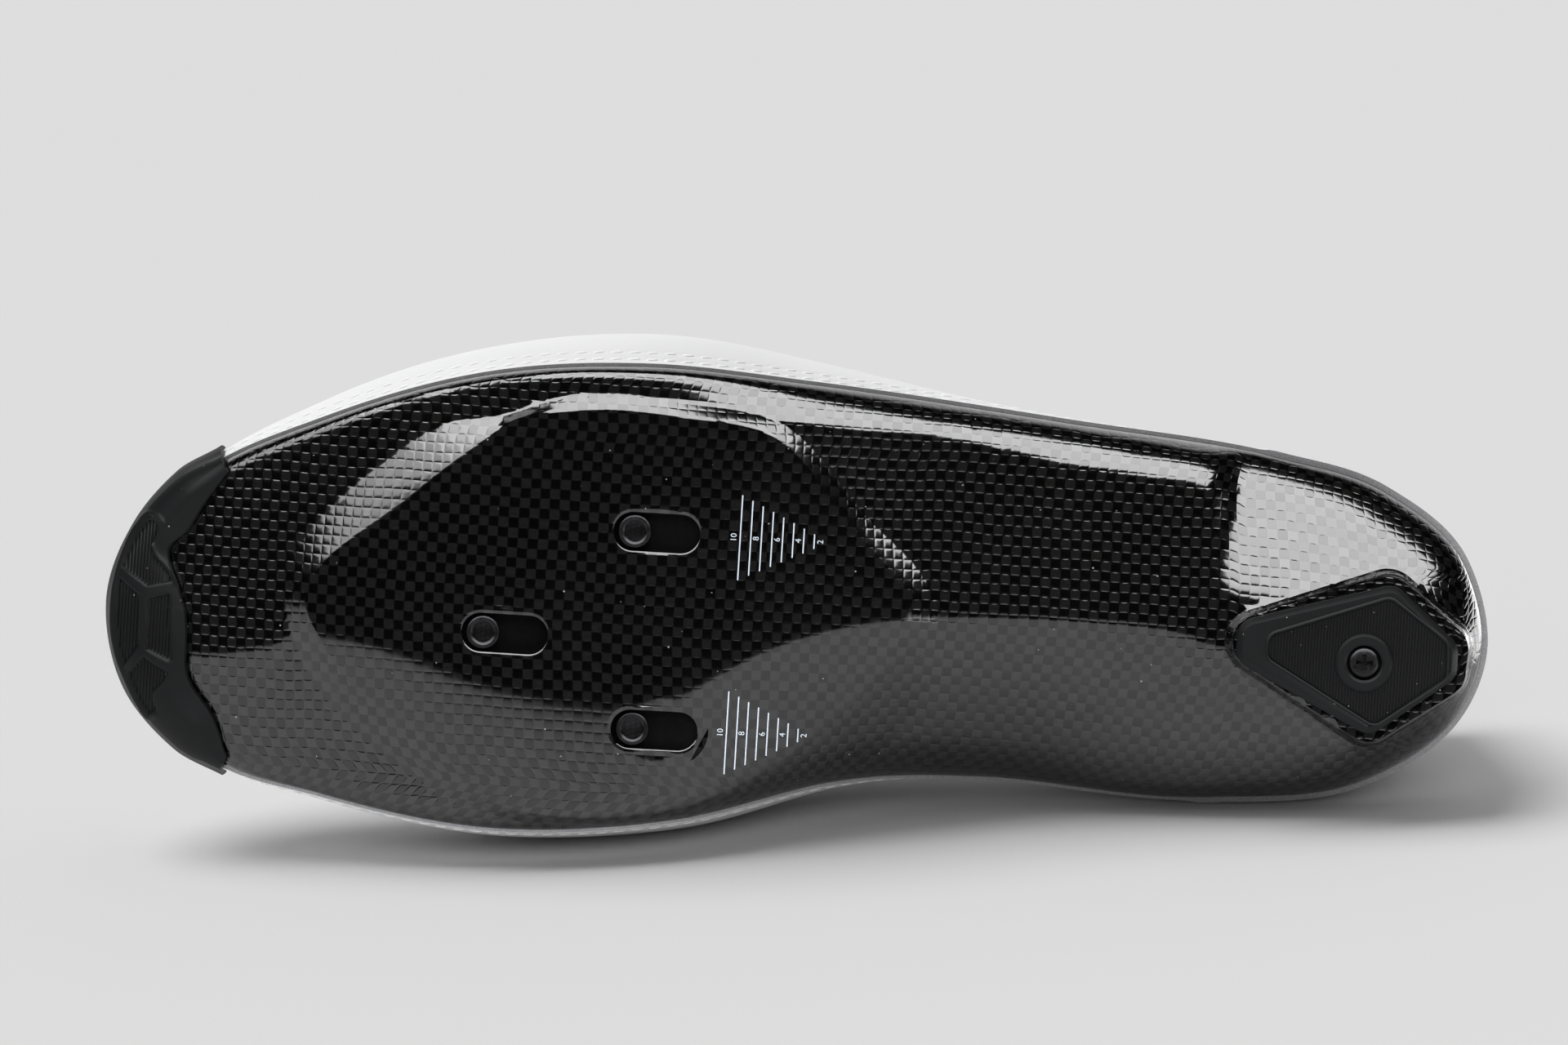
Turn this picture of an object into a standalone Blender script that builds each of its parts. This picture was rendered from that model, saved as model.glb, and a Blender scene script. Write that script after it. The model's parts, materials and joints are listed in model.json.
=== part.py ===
"""Left road cycling shoe with a carbon sole, lying on its medial side.

The shoe is shaped in its own frame first: x runs from the heel to the toe, y to the
lateral side and z up from the ground. It is then laid down on the side it rests on,
toe towards -X and sole towards -Y, centred over the origin.
"""

import math

import bmesh
import bpy
import numpy as np
from mathutils import Matrix, Vector
from mathutils.geometry import delaunay_2d_cdt

for item in list(bpy.data.objects):
    bpy.data.objects.remove(item, do_unlink=True)

# Main sizes of the shoe, in metres
LENGTH = 0.285
BALL_WIDTH = 0.0965
INSTEP_HEIGHT = 0.096
ARCH_HEIGHT = 0.020

# Walls and clearances
UPPER_WALL = 0.0020
GAP = 0.0003
FIT = 0.0004
SOLE_FLOOR = 0.0030
RIM_WIDTH = 0.0030
RIM_LIP = 0.0022
INSOLE_THICKNESS = 0.0030
INSOLE_MARGIN = 0.0006
INSOLE_LIFT = 0.0006
TONGUE_THICKNESS = 0.0025
TONGUE_RISE = 0.010
TONGUE_LAP = 0.10
# Rows of the tongue's rounded top: share of its rise, share of its width
TONGUE_TOP = ((0.55, 0.80), (1.0, 0.56))
TONGUE_LAP_SHARES = (1.0, 0.66, 0.33)
TONGUE_ARCH_POINTS = 7
THROAT_START = 0.985

# Sections from the heel back to the toe tip, a row for each: rim of the sole on the
# lateral and the medial side. x is a share of LENGTH, y of BALL_WIDTH.
#               lat x   lat y   med x   med y
RIM = {
    "heel back": (0.004, -0.010, 0.004, -0.010),
    "heel corner": (0.023, 0.172, 0.022, -0.176),
    "heel side": (0.080, 0.302, 0.088, -0.321),
    "heel front": (0.158, 0.362, 0.193, -0.373),
    "waist": (0.318, 0.411, 0.358, -0.365),
    "arch": (0.496, 0.458, 0.469, -0.393),
    "ball": (0.614, 0.478, 0.579, -0.483),
    "forefoot": (0.733, 0.439, 0.709, -0.523),
    "toe side": (0.848, 0.321, 0.836, -0.477),
    "toe corner": (0.930, 0.195, 0.919, -0.414),
    "toe front": (0.974, 0.052, 0.975, -0.266),
    "toe tip": (0.9895, -0.100, 0.9895, -0.100),
}

# Sides of the sole's underside at the same sections: the ramp that climbs towards the
# rim, then the rounded edge. Widths are shares of BALL_WIDTH, rises of ARCH_HEIGHT.
#               lat ramp      lat edge      med ramp      med edge
#               width  rise   width  rise   width  rise   width  rise
SIDES = {
    "heel back": (0.12, 0.15, 0.13, 0.50, 0.12, 0.15, 0.13, 0.50),
    "heel corner": (0.18, 0.30, 0.12, 0.45, 0.14, 0.20, 0.13, 0.50),
    "heel side": (0.26, 0.52, 0.11, 0.40, 0.18, 0.30, 0.13, 0.50),
    "heel front": (0.22, 0.38, 0.11, 0.42, 0.30, 0.52, 0.12, 0.45),
    "waist": (0.12, 0.06, 0.12, 0.48, 0.35, 0.82, 0.10, 0.36),
    "arch": (0.12, 0.04, 0.12, 0.42, 0.30, 0.58, 0.09, 0.30),
    "ball": (0.12, 0.05, 0.06, 0.22, 0.20, 0.15, 0.06, 0.22),
    "forefoot": (0.16, 0.10, 0.05, 0.18, 0.24, 0.18, 0.05, 0.18),
    "toe side": (0.18, 0.10, 0.05, 0.18, 0.28, 0.30, 0.05, 0.18),
    "toe corner": (0.14, 0.08, 0.05, 0.18, 0.24, 0.24, 0.05, 0.18),
    "toe front": (0.12, 0.06, 0.05, 0.18, 0.14, 0.10, 0.05, 0.18),
    "toe tip": (0.12, 0.06, 0.05, 0.18, 0.12, 0.06, 0.05, 0.18),
}

# How the ramp starts: one is a sharp crease, more is softer
RAMP_POWER = 1.4

# Height of the underside along the middle of the sole: x as a share of LENGTH,
# height as a share of ARCH_HEIGHT.
KEEL = (
    (0.00, 0.34),
    (0.08, 0.28),
    (0.16, 0.27),
    (0.25, 0.40),
    (0.34, 0.57),
    (0.42, 0.58),
    (0.50, 0.38),
    (0.56, 0.22),
    (0.62, 0.135),
    (0.68, 0.11),
    (0.74, 0.14),
    (0.80, 0.26),
    (0.87, 0.52),
    (0.93, 0.84),
    (1.00, 1.30),
)

# Where each section ends above: the collar ring behind the instep, the ridge under the
# throat ahead of it. x is a share of LENGTH, y of BALL_WIDTH, z of INSTEP_HEIGHT. Open
# is how far up the section the upper reaches.
#               x      lat y  med y  z      open
CREST = {
    "heel back": (0.030, -0.010, -0.010, 0.77, 1.00),
    "heel corner": (0.046, 0.125, -0.145, 0.75, 1.00),
    "heel side": (0.100, 0.240, -0.262, 0.68, 1.00),
    "heel front": (0.180, 0.285, -0.300, 0.63, 1.00),
    "waist": (0.285, 0.225, -0.250, 0.70, 1.00),
    "arch": (0.385, -0.012, -0.012, 0.98, 0.85),
    "ball": (0.465, -0.020, -0.020, 0.88, 0.865),
    "forefoot": (0.545, -0.030, -0.030, 0.765, 0.90),
    "toe side": (0.596, -0.035, -0.035, 0.705, 0.93),
    "toe corner": (0.618, -0.038, -0.038, 0.682, 0.945),
    "toe front": (0.625, -0.040, -0.040, 0.675, 0.950),
    "toe tip": (0.628, -0.040, -0.040, 0.672, 0.952),
}

# How the wall leaves the rim and how it comes to the crest. Lean is the outward part of
# the lower handle, flat the sideways part of the upper one, both shares of one; the
# handles' lengths are shares of the section's chord.
#               lat lean  med lean  lower  flat   upper
CURVE = {
    "heel back": (0.10, 0.10, 0.34, 0.10, 0.34),
    "heel corner": (0.12, 0.12, 0.34, 0.12, 0.34),
    "heel side": (0.16, 0.16, 0.34, 0.14, 0.34),
    "heel front": (0.20, 0.18, 0.34, 0.16, 0.34),
    "waist": (0.28, 0.22, 0.36, 0.30, 0.36),
    "arch": (0.44, 0.30, 0.42, 0.78, 0.36),
    "ball": (0.54, 0.32, 0.44, 0.88, 0.36),
    "forefoot": (0.54, 0.32, 0.42, 0.92, 0.40),
    "toe side": (0.50, 0.32, 0.36, 0.94, 0.46),
    "toe corner": (0.34, 0.28, 0.30, 0.95, 0.50),
    "toe front": (0.20, 0.20, 0.26, 0.955, 0.52),
    "toe tip": (0.18, 0.18, 0.25, 0.96, 0.54),
}

# Cleat platform, raised on the forefoot: corners as shares of LENGTH and BALL_WIDTH,
# with the width of the chamfer that leads down from each, as a share of BALL_WIDTH.
PLATFORM_RISE = 0.0022
PLATFORM = (
    (0.420, -0.005, 0.060),
    (0.465, 0.170, 0.035),
    (0.525, 0.350, 0.030),
    (0.590, 0.380, 0.030),
    (0.705, 0.365, 0.045),
    (0.780, 0.175, 0.100),
    (0.852, -0.060, 0.050),
    (0.826, -0.205, 0.060),
    (0.765, -0.330, 0.080),
    (0.715, -0.455, 0.030),
    (0.625, -0.478, 0.030),
    (0.555, -0.430, 0.045),
    (0.495, -0.320, 0.100),
    (0.440, -0.150, 0.110),
)

# Heel island, the flat seat of the heel pad
ISLAND_LEVEL = 0.0032
ISLAND_CHAMFER = 0.0030
ISLAND_CORNER_RADIUS = 0.0055
ISLAND = (
    (0.212, -0.012),
    (0.073, 0.138),
    (0.016, 0.010),
    (0.018, -0.093),
    (0.084, -0.232),
)

# Heel pad and its screw
PAD_CORNERS = (
    (0.183, -0.066),
    (0.183, 0.018),
    (0.072, 0.117),
    (0.024, -0.005),
    (0.024, -0.073),
    (0.084, -0.209),
)
PAD_HEIGHT = 0.0030
PAD_SKIRT = 0.0010
PAD_BORDER = 0.0020
PAD_CHAMFER = 0.0012
PAD_RECESS = 0.0005
PAD_CORNER_RADIUS = 0.0041
PAD_CORNER_POINTS = 5
PAD_SIDE_POINTS = 2
SCREW_POINT = (0.091, -0.053)
SCREW_HEAD_RADIUS = 0.0032
SCREW_HEAD_HEIGHT = 0.0013
SCREW_SHANK_RADIUS = 0.0017
SCREW_LENGTH = 0.0058
SCREW_CROWN_SHARE = 0.8
SCREW_RIM_SHARE = 1 / 3
SCREW_CROSS_SHARE = 0.6
SCREW_SIDES = 24
SCREW_SLOT_WIDTH = 0.0009
SCREW_SLOT_DEPTH = 0.0008
BOSS_RADIUS = 0.0056

# Cleat slots and the threaded nuts behind them: centre of each slot as shares of LENGTH
# and BALL_WIDTH, and the nut's place along it
SLOTS = {
    "cleat_nut_front": (0.7075, -0.103),
    "cleat_nut_lateral": (0.6030, 0.130),
    "cleat_nut_medial": (0.5965, -0.289),
}
SLOT_SOLVER = {
    "cleat_nut_front": "EXACT",
    "cleat_nut_lateral": "EXACT",
    "cleat_nut_medial": "MANIFOLD",
}
CUT_BEYOND = 0.0060
SLOT_LENGTH = 0.0176
SLOT_WIDTH = 0.0078
SLOT_END_POINTS = 9
NUT_FORWARD = 0.0045
NUT_RADIUS = 0.0034
NUT_BORE = 0.0021
NUT_PLATE_LENGTH = 0.0210
NUT_PLATE_WIDTH = 0.0130
NUT_PLATE_THICKNESS = 0.0013
NUT_RECESS = 0.0006
NUT_SIDES = 20
POCKET_DEPTH = 0.0018
POCKET_LENGTH = 0.0222
POCKET_WIDTH = 0.0142

# Toe bumper: its ends in plan as shares of LENGTH and BALL_WIDTH, how far it tucks in
# under the toe from the lateral to the medial end, and how far it climbs the wall
BUMPER_ENDS = ((0.914, 0.225), (0.906, -0.435))
BUMPER_TUCK = (0.0025, 0.0050, 0.0070, 0.0065, 0.0120, 0.0142, 0.0142, 0.0125, 0.0100, 0.0080, 0.0025)
BUMPER_CLIMB = 0.100
# Its thickness along the profile, from under the toe to the top, as shares of the full one
BUMPER_THICKNESS = 0.0027
BUMPER_INSETS = (1.00, 0.62, 0.36, 0.17, 0.05)
BUMPER_PROFILE = (0.35, 0.85, 1.00, 1.00, 1.00, 1.00, 1.00, 0.85, 0.35)
BUMPER_END_SHARE = 0.45
BUMPER_END_LENGTH = 1 / 8
SKIN_STEP = 0.0004

# Lace: straight bars over the tongue joined by runs along the throat
LACE_RADIUS = 0.0015
LACE_BARS = 5
LACE_CLEAR = 0.0006
LACE_BACK = 0.030
LACE_RUN_BACK = 0.042
LACE_SPAN = 1.03
LACE_BAR_POINTS = 7
LACE_SIDES = 6

# Mesh density
MERGE = 0.00001
RIM_COLUMNS = 88
WALL_ROWS = 10
EDGE_INSETS = (0.0006, 0.0022, 0.0048, 0.0085)
BELOW_SPACING = 0.0085
FLOOR_SPACING = 0.012
TONGUE_COLUMNS = 15
SHARP_ANGLE = 35
PLATFORM_POINTS = 56
PLAN_TOLERANCE = 1e-7


def table_columns(table):
    """Columns of a table as one array, a row for each section."""
    return np.array(list(table.values()), dtype=float)


def hermite(knots, values, where, period=None):
    """Smooth curve through the values at the knots, periodic if a period is given."""
    if period:
        knots = np.concatenate([knots[-2:] - period, knots, knots[:2] + period])
        values = np.concatenate([values[-2:], values, values[:2]])
        where = where % period
    slopes = np.gradient(values, knots, axis=0)
    index = np.clip(np.searchsorted(knots, where, side="right") - 1, 0, len(knots) - 2)
    span = knots[index + 1] - knots[index]
    t = (where - knots[index]) / span
    shape = (-1,) + (1,) * (values.ndim - 1)
    t, span = t.reshape(shape), span.reshape(shape)
    return (
        values[index] * (1 + 2 * t) * (1 - t) ** 2
        + slopes[index] * span * t * (1 - t) ** 2
        + values[index + 1] * t * t * (3 - 2 * t)
        + slopes[index + 1] * span * t * t * (t - 1)
    )


def loop_rows(lateral, medial):
    """Rows of a closed loop: lateral side forward, then the medial side back."""
    return np.concatenate([lateral, medial[-2:0:-1]])


rim_table = table_columns(RIM) * (LENGTH, BALL_WIDTH, LENGTH, BALL_WIDTH)
mean_steps = 0.5 * (
    np.linalg.norm(np.diff(rim_table[:, :2], axis=0), axis=1)
    + np.linalg.norm(np.diff(rim_table[:, 2:], axis=0), axis=1)
)
station = np.concatenate([[0.0], np.cumsum(mean_steps)]) / (2 * mean_steps.sum())
LOOP_KNOTS = loop_rows(station, 1.0 - station)
RIM_ROWS = loop_rows(rim_table[:, :2], rim_table[:, 2:])
side_table = table_columns(SIDES) * ((BALL_WIDTH, ARCH_HEIGHT) * 4)
SIDE_ROWS = loop_rows(side_table[:, :4], side_table[:, 4:])
crest_table = table_columns(CREST)
CREST_ROWS = loop_rows(crest_table[:, [0, 1, 3, 4]], crest_table[:, [0, 2, 3, 4]])
curve_table = table_columns(CURVE)
CURVE_ROWS = loop_rows(curve_table[:, [0, 2, 3, 4]], curve_table[:, 1:5])


def around(rows, s):
    """Value of a closed table at places s around the rim, 0 and 1 at the heel back."""
    return hermite(LOOP_KNOTS, rows, np.asarray(s, dtype=float), 1.0)


def rim_xy(s):
    """Rim of the sole in plan."""
    return around(RIM_ROWS, s)


def rim_outward(s):
    """Unit vector pointing out of the rim in plan."""
    step = 1e-4
    along = rim_xy(s + step) - rim_xy(s - step)
    along /= np.linalg.norm(along, axis=1, keepdims=True)
    return np.stack([-along[:, 1], along[:, 0]], axis=1)


SAMPLES = 720
SAMPLE_S = np.arange(SAMPLES) / SAMPLES
SAMPLE_XY = rim_xy(SAMPLE_S)


def closest(points, loop_start, loop_end):
    """Distance of each point to the segments of a loop, the segment and the share."""
    run = loop_end - loop_start
    offset = points[:, None] - loop_start[None]
    share = np.clip((offset * run).sum(2) / (run * run).sum(1), 0, 1)
    gaps = np.linalg.norm(offset - share[..., None] * run, axis=2)
    best = gaps.argmin(axis=1)
    rows = np.arange(len(points))
    return gaps[rows, best], best, share[rows, best]


def rim_place(points):
    """Distance in from the rim and the place around it of points in plan."""
    depth, index, share = closest(points, SAMPLE_XY, np.roll(SAMPLE_XY, -1, axis=0))
    return depth, (index + share) / SAMPLES


def inside(points, loop):
    """Whether each point in plan lies in a closed loop."""
    a, b = loop, np.roll(loop, -1, axis=0)
    x, y = points[:, 0, None], points[:, 1, None]
    crosses = (a[:, 1] > y) != (b[:, 1] > y)
    rise = np.where(b[:, 1] == a[:, 1], 1.0, b[:, 1] - a[:, 1])
    at = a[:, 0] + (y - a[:, 1]) * (b[:, 0] - a[:, 0]) / rise
    return (crosses & (x < at)).sum(1) % 2 == 1


def smooth_loop(rows, count):
    """Closed curve through a few points, with any further columns carried along."""
    rows = np.array(rows, dtype=float)
    steps = np.linalg.norm(np.roll(rows[:, :2], -1, axis=0) - rows[:, :2], axis=1)
    knots = np.concatenate([[0.0], np.cumsum(steps)[:-1]])
    return hermite(knots, rows, np.arange(count) / count * steps.sum(), steps.sum())


def filleted(corners, radius, per_corner, per_side=0):
    """Polygon with rounded corners, the same number of points on each."""
    corners = np.array(corners)
    points = []
    for index, corner in enumerate(corners):
        back = corners[index - 1] - corner
        ahead = corners[(index + 1) % len(corners)] - corner
        back /= np.linalg.norm(back)
        ahead /= np.linalg.norm(ahead)
        half = math.acos(float(back @ ahead)) / 2
        bisector = (back + ahead) / np.linalg.norm(back + ahead)
        middle = corner + bisector * (radius / math.sin(half))
        side = back - bisector * (back @ bisector)
        side /= np.linalg.norm(side)
        for angle in np.linspace(math.pi / 2 - half, half - math.pi / 2, per_corner):
            points.append(middle + radius * (side * math.sin(angle) - bisector * math.cos(angle)))
    straight = range(per_corner - 1, len(points), per_corner)
    filled = []
    for index, point in enumerate(points):
        filled.append(point)
        if index in straight:
            beyond = points[(index + 1) % len(points)]
            shares = np.arange(1, per_side + 1) / (per_side + 1)
            filled += [point + (beyond - point) * share for share in shares]
    return np.array(filled)


def scaled(corners):
    """Table corners in metres."""
    return [(x * LENGTH, y * BALL_WIDTH) for x, y in corners]


PLATFORM_LOOP = smooth_loop(
    [(x * LENGTH, y * BALL_WIDTH, width * BALL_WIDTH) for x, y, width in PLATFORM], PLATFORM_POINTS
)
ISLAND_LOOP = filleted(scaled(ISLAND), ISLAND_CORNER_RADIUS, PAD_CORNER_POINTS)
PAD_LOOP = filleted(scaled(PAD_CORNERS), PAD_CORNER_RADIUS, PAD_CORNER_POINTS, PAD_SIDE_POINTS)


def ease(value):
    """Smooth step from 0 to 1."""
    value = np.clip(value, 0.0, 1.0)
    return value * value * (3 - 2 * value)


def keel(x):
    """Height of the underside along the middle."""
    rows = np.array(KEEL) * (LENGTH, ARCH_HEIGHT)
    return hermite(rows[:, 0], rows[:, 1], np.clip(x, 0, LENGTH))


def sides(depth, s):
    """Climb of the underside near the rim: a ramp, then a rounded edge."""
    ramp_width, ramp_rise, edge_width, edge_rise = around(SIDE_ROWS, s).T
    ramp = np.clip(1 - depth / ramp_width, 0, 1)
    edge = np.clip(1 - depth / edge_width, 0, 1)
    return ramp_rise * ramp ** RAMP_POWER + edge_rise * (1 - np.sqrt(1 - edge * edge))


def shell(points):
    """Height of the underside without its platform and island."""
    depth, s = rim_place(points)
    return keel(points[:, 0]) + sides(depth, s)


def platform_share(points):
    """How much of the platform's rise each point takes: one on top of it."""
    gap, index, _ = closest(points, PLATFORM_LOOP[:, :2], np.roll(PLATFORM_LOOP[:, :2], -1, axis=0))
    on_top = inside(points, PLATFORM_LOOP[:, :2])
    return np.where(on_top, 1.0, np.clip(1 - gap / PLATFORM_LOOP[index, 2], 0, 1))


def island_share(points):
    """How much of the island's level each point takes."""
    gap, _, _ = closest(points, ISLAND_LOOP, np.roll(ISLAND_LOOP, -1, axis=0))
    on_top = inside(points, ISLAND_LOOP)
    return np.where(on_top, 1.0, ease(1 - gap / ISLAND_CHAMFER))


def underside(points):
    """Height of the sole's outer face."""
    height = shell(points) - PLATFORM_RISE * platform_share(points)
    share = island_share(points)
    return height * (1 - share) + np.minimum(height, ISLAND_LEVEL) * share


def rim_height(s):
    """Top of the sole's rim."""
    on_rim = rim_xy(s)
    return keel(on_rim[:, 0]) + sides(np.zeros(len(on_rim)), s) + RIM_LIP


def bezier(points, t):
    """Cubic curve through four control points, for arrays of each."""
    a, b, c, d = points
    t = t[:, None]
    return a * (1 - t) ** 3 + 3 * b * t * (1 - t) ** 2 + 3 * c * t * t * (1 - t) + d * t ** 3


def last(s, t):
    """Outer face of the upper at places s around the rim and shares t of the way up."""
    foot = np.column_stack([rim_xy(s), rim_height(s) + GAP])
    out = np.column_stack([rim_outward(s), np.zeros(len(s))])
    up = np.array([0.0, 0.0, 1.0])
    crest_x, crest_y, crest_z, _ = around(CREST_ROWS, s).T
    crest = np.column_stack([crest_x * LENGTH, crest_y * BALL_WIDTH, crest_z * INSTEP_HEIGHT])
    lean, lower, flat, upper = around(CURVE_ROWS, s).T[..., None]
    chord = np.linalg.norm(crest - foot, axis=1, keepdims=True)
    away = (foot - crest) * (1, 1, 0)
    away /= np.linalg.norm(away, axis=1, keepdims=True)
    start = foot + chord * lower * (out * lean + up * np.sqrt(1 - lean * lean))
    arrive = crest + chord * upper * (away * flat - up * np.sqrt(1 - flat * flat))
    return bezier((foot, start, arrive, crest), np.asarray(t, dtype=float))


def last_normal(s, t):
    """Unit vector out of the upper."""
    step = 1e-3
    across = last(s + step, t) - last(s - step, t)
    climb = last(s, np.minimum(t + step, 1)) - last(s, np.maximum(t - step, 0))
    normal = np.cross(climb, across)
    return normal / np.linalg.norm(normal, axis=1, keepdims=True)


def open_share(s):
    """How far up each section the upper reaches."""
    return np.minimum(around(CREST_ROWS, s)[:, 3], 1.0)


def mesh_object(name, points, faces, made_of, weld=False):
    """Object from points and faces in the shoe's frame."""
    mesh = bpy.data.meshes.new(name)
    mesh.from_pydata([tuple(map(float, point)) for point in points], [], faces)
    shape = bmesh.new()
    shape.from_mesh(mesh)
    if weld:
        bmesh.ops.remove_doubles(shape, verts=shape.verts, dist=MERGE)
        bmesh.ops.dissolve_degenerate(shape, edges=shape.edges, dist=MERGE)
    bmesh.ops.recalc_face_normals(shape, faces=shape.faces)
    shape.to_mesh(mesh)
    shape.free()
    mesh.materials.append(made_of)
    mesh.shade_smooth()
    mesh.set_sharp_from_angle(angle=math.radians(SHARP_ANGLE))
    made = bpy.data.objects.new(name, mesh)
    bpy.context.scene.collection.objects.link(made)
    return made


def material(name, colour, roughness, metallic=0.0):
    """Principled material."""
    made = bpy.data.materials.new(name)
    made.use_nodes = True
    shader = made.node_tree.nodes["Principled BSDF"]
    shader.inputs["Base Color"].default_value = (*colour, 1.0)
    shader.inputs["Roughness"].default_value = roughness
    shader.inputs["Metallic"].default_value = metallic
    return made


def ring_strip(first, second, count):
    """Quads between two rings of the same length, given by their first indices."""
    return [
        (first + i, first + (i + 1) % count, second + (i + 1) % count, second + i)
        for i in range(count)
    ]


def stacked_rings(name, rings, made_of, closed_tube=False):
    """Solid through rings of equal length: capped at both ends, or joined end to end."""
    count = len(rings[0])
    points = np.concatenate(rings)
    faces = []
    for index in range(len(rings) - 1):
        faces += ring_strip(index * count, (index + 1) * count, count)
    if closed_tube:
        faces += ring_strip((len(rings) - 1) * count, 0, count)
    else:
        faces.append(tuple(range(count)))
        faces.append(tuple(range(len(points) - 1, len(points) - 1 - count, -1)))
    return mesh_object(name, points, faces, made_of)


def circle(centre, radius, count, start=0.0):
    """Points round a circle in plan."""
    angles = start + np.arange(count) / count * math.tau
    return np.column_stack([centre[0] + radius * np.cos(angles), centre[1] + radius * np.sin(angles)])


def at_height(plan, height):
    """Plan points with a height."""
    return np.column_stack([plan, np.broadcast_to(height, len(plan))])


def offset_loop(loop, distance):
    """Loop moved outwards, or inwards for a negative distance."""
    along = np.roll(loop, -1, axis=0) - np.roll(loop, 1, axis=0)
    along /= np.linalg.norm(along, axis=1, keepdims=True)
    normal = np.column_stack([along[:, 1], -along[:, 0]])
    area = np.cross(loop, np.roll(loop, -1, axis=0)).sum()
    return loop + normal * distance * np.sign(area)


def plan_mesh(boundary, loops, within, spacing, margin):
    """Triangles over a closed boundary, following the loops where they lie within
    another one, with points between."""
    points = [boundary]
    edges = [(i, (i + 1) % len(boundary)) for i in range(len(boundary))]
    for loop in loops:
        kept = inside(loop, within)
        base = sum(map(len, points))
        place = base + np.cumsum(kept) - 1
        points.append(loop[kept])
        following = [(i, (i + 1) % len(loop)) for i in range(len(loop))]
        edges += [(int(place[i]), int(place[j])) for i, j in following if kept[i] and kept[j]]
    low, high = boundary.min(0), boundary.max(0)
    grid = []
    for row, y in enumerate(np.arange(low[1], high[1], spacing * 0.87)):
        for x in np.arange(low[0] + spacing * 0.5 * (row % 2), high[0], spacing):
            grid.append((x, y))
    grid = np.array(grid)
    placed = np.concatenate(points)
    clear = np.linalg.norm(grid[:, None] - placed[None], axis=2).min(1) > margin
    grid = grid[clear & inside(grid, boundary)]
    everything = np.concatenate([placed, grid])
    vertices, _, triangles, origins, _, _ = delaunay_2d_cdt(
        [Vector(point) for point in everything], edges, [], 0, PLAN_TOLERANCE
    )
    plan = np.array([tuple(vertex) for vertex in vertices])
    middles = plan[np.array(triangles)].mean(1)
    triangles = [face for face, kept in zip(triangles, inside(middles, boundary)) if kept]
    order = [None] * len(boundary)
    for index, sources in enumerate(origins):
        for source in sources:
            if source < len(boundary):
                order[source] = index
    return plan, triangles, order


def rim_ring(inset):
    """Ring in plan set in from the rim, and its places around it."""
    s = np.arange(RIM_COLUMNS) / RIM_COLUMNS
    return rim_xy(s) - rim_outward(s) * inset, s


def slot_loop(centre, length, width, per_end):
    """Stadium outline along x."""
    radius = width / 2
    reach = length / 2 - radius
    angles = np.linspace(-math.pi / 2, math.pi / 2, per_end)
    front = [(centre[0] + reach + radius * math.cos(a), centre[1] + radius * math.sin(a)) for a in angles]
    back = [(centre[0] - reach - radius * math.cos(a), centre[1] - radius * math.sin(a)) for a in angles]
    return np.array(front + back)


def slot_centre(name):
    """Centre of a cleat slot in plan."""
    x, y = SLOTS[name]
    return np.array([x * LENGTH, y * BALL_WIDTH])


def cut(target, cutter, solver="EXACT"):
    """Takes the cutter out of the target."""
    cutter.hide_render = True
    cutter.display_type = "WIRE"
    step = target.modifiers.new("Cut " + cutter.name, "BOOLEAN")
    step.object = cutter
    step.operation = "DIFFERENCE"
    step.solver = solver


CARBON = material("carbon", (0.020, 0.020, 0.021), 0.18)
WHITE = material("white synthetic", (0.82, 0.82, 0.83), 0.45)
LINING = material("grey lining", (0.35, 0.35, 0.37), 0.85)
RUBBER = material("black rubber", (0.028, 0.029, 0.031), 0.50)
STEEL = material("dark steel", (0.09, 0.09, 0.095), 0.35, 1.0)
LACE = material("white lace", (0.78, 0.78, 0.79), 0.75)

# Sole: outer face from the rim down and across, then the rim and the floor inside
outer, outer_s = rim_ring(0.0)
inner, _ = rim_ring(RIM_WIDTH)
insole_edge, _ = rim_ring(RIM_WIDTH + INSOLE_MARGIN)
platform_top = PLATFORM_LOOP[:, :2]
platform_foot = platform_top + (offset_loop(platform_top, 1.0) - platform_top) * PLATFORM_LOOP[:, 2:]
edge_rings = [rim_ring(inset)[0] for inset in EDGE_INSETS]
features = edge_rings + [
    platform_top,
    platform_foot,
    ISLAND_LOOP,
    offset_loop(ISLAND_LOOP, ISLAND_CHAMFER),
]
below_xy, below_faces, below_order = plan_mesh(
    outer, features, rim_ring(EDGE_INSETS[0] / 2)[0], BELOW_SPACING, BELOW_SPACING * 0.4
)
below = at_height(below_xy, underside(below_xy))
floor_xy, floor_faces, floor_order = plan_mesh(
    inner, [insole_edge, rim_ring(EDGE_INSETS[-1])[0]], inner, FLOOR_SPACING, FLOOR_SPACING * 0.4
)
floor = at_height(floor_xy, shell(floor_xy) + SOLE_FLOOR)
rim_top = rim_height(outer_s)
sole_points = np.concatenate([below, floor, at_height(outer, rim_top), at_height(inner, rim_top)])
floor_base = len(below)
outer_base = floor_base + len(floor)
inner_base = outer_base + RIM_COLUMNS
sole_faces = [tuple(face) for face in below_faces]
sole_faces += [tuple(floor_base + i for i in face) for face in floor_faces]
for i in range(RIM_COLUMNS):
    j = (i + 1) % RIM_COLUMNS
    sole_faces.append((below_order[i], below_order[j], outer_base + j, outer_base + i))
    sole_faces.append((outer_base + i, outer_base + j, inner_base + j, inner_base + i))
    sole_faces.append(
        (inner_base + i, inner_base + j, floor_base + floor_order[j], floor_base + floor_order[i])
    )
sole = mesh_object("sole", sole_points, sole_faces, CARBON)
parts = [sole]
cutters = []

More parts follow.
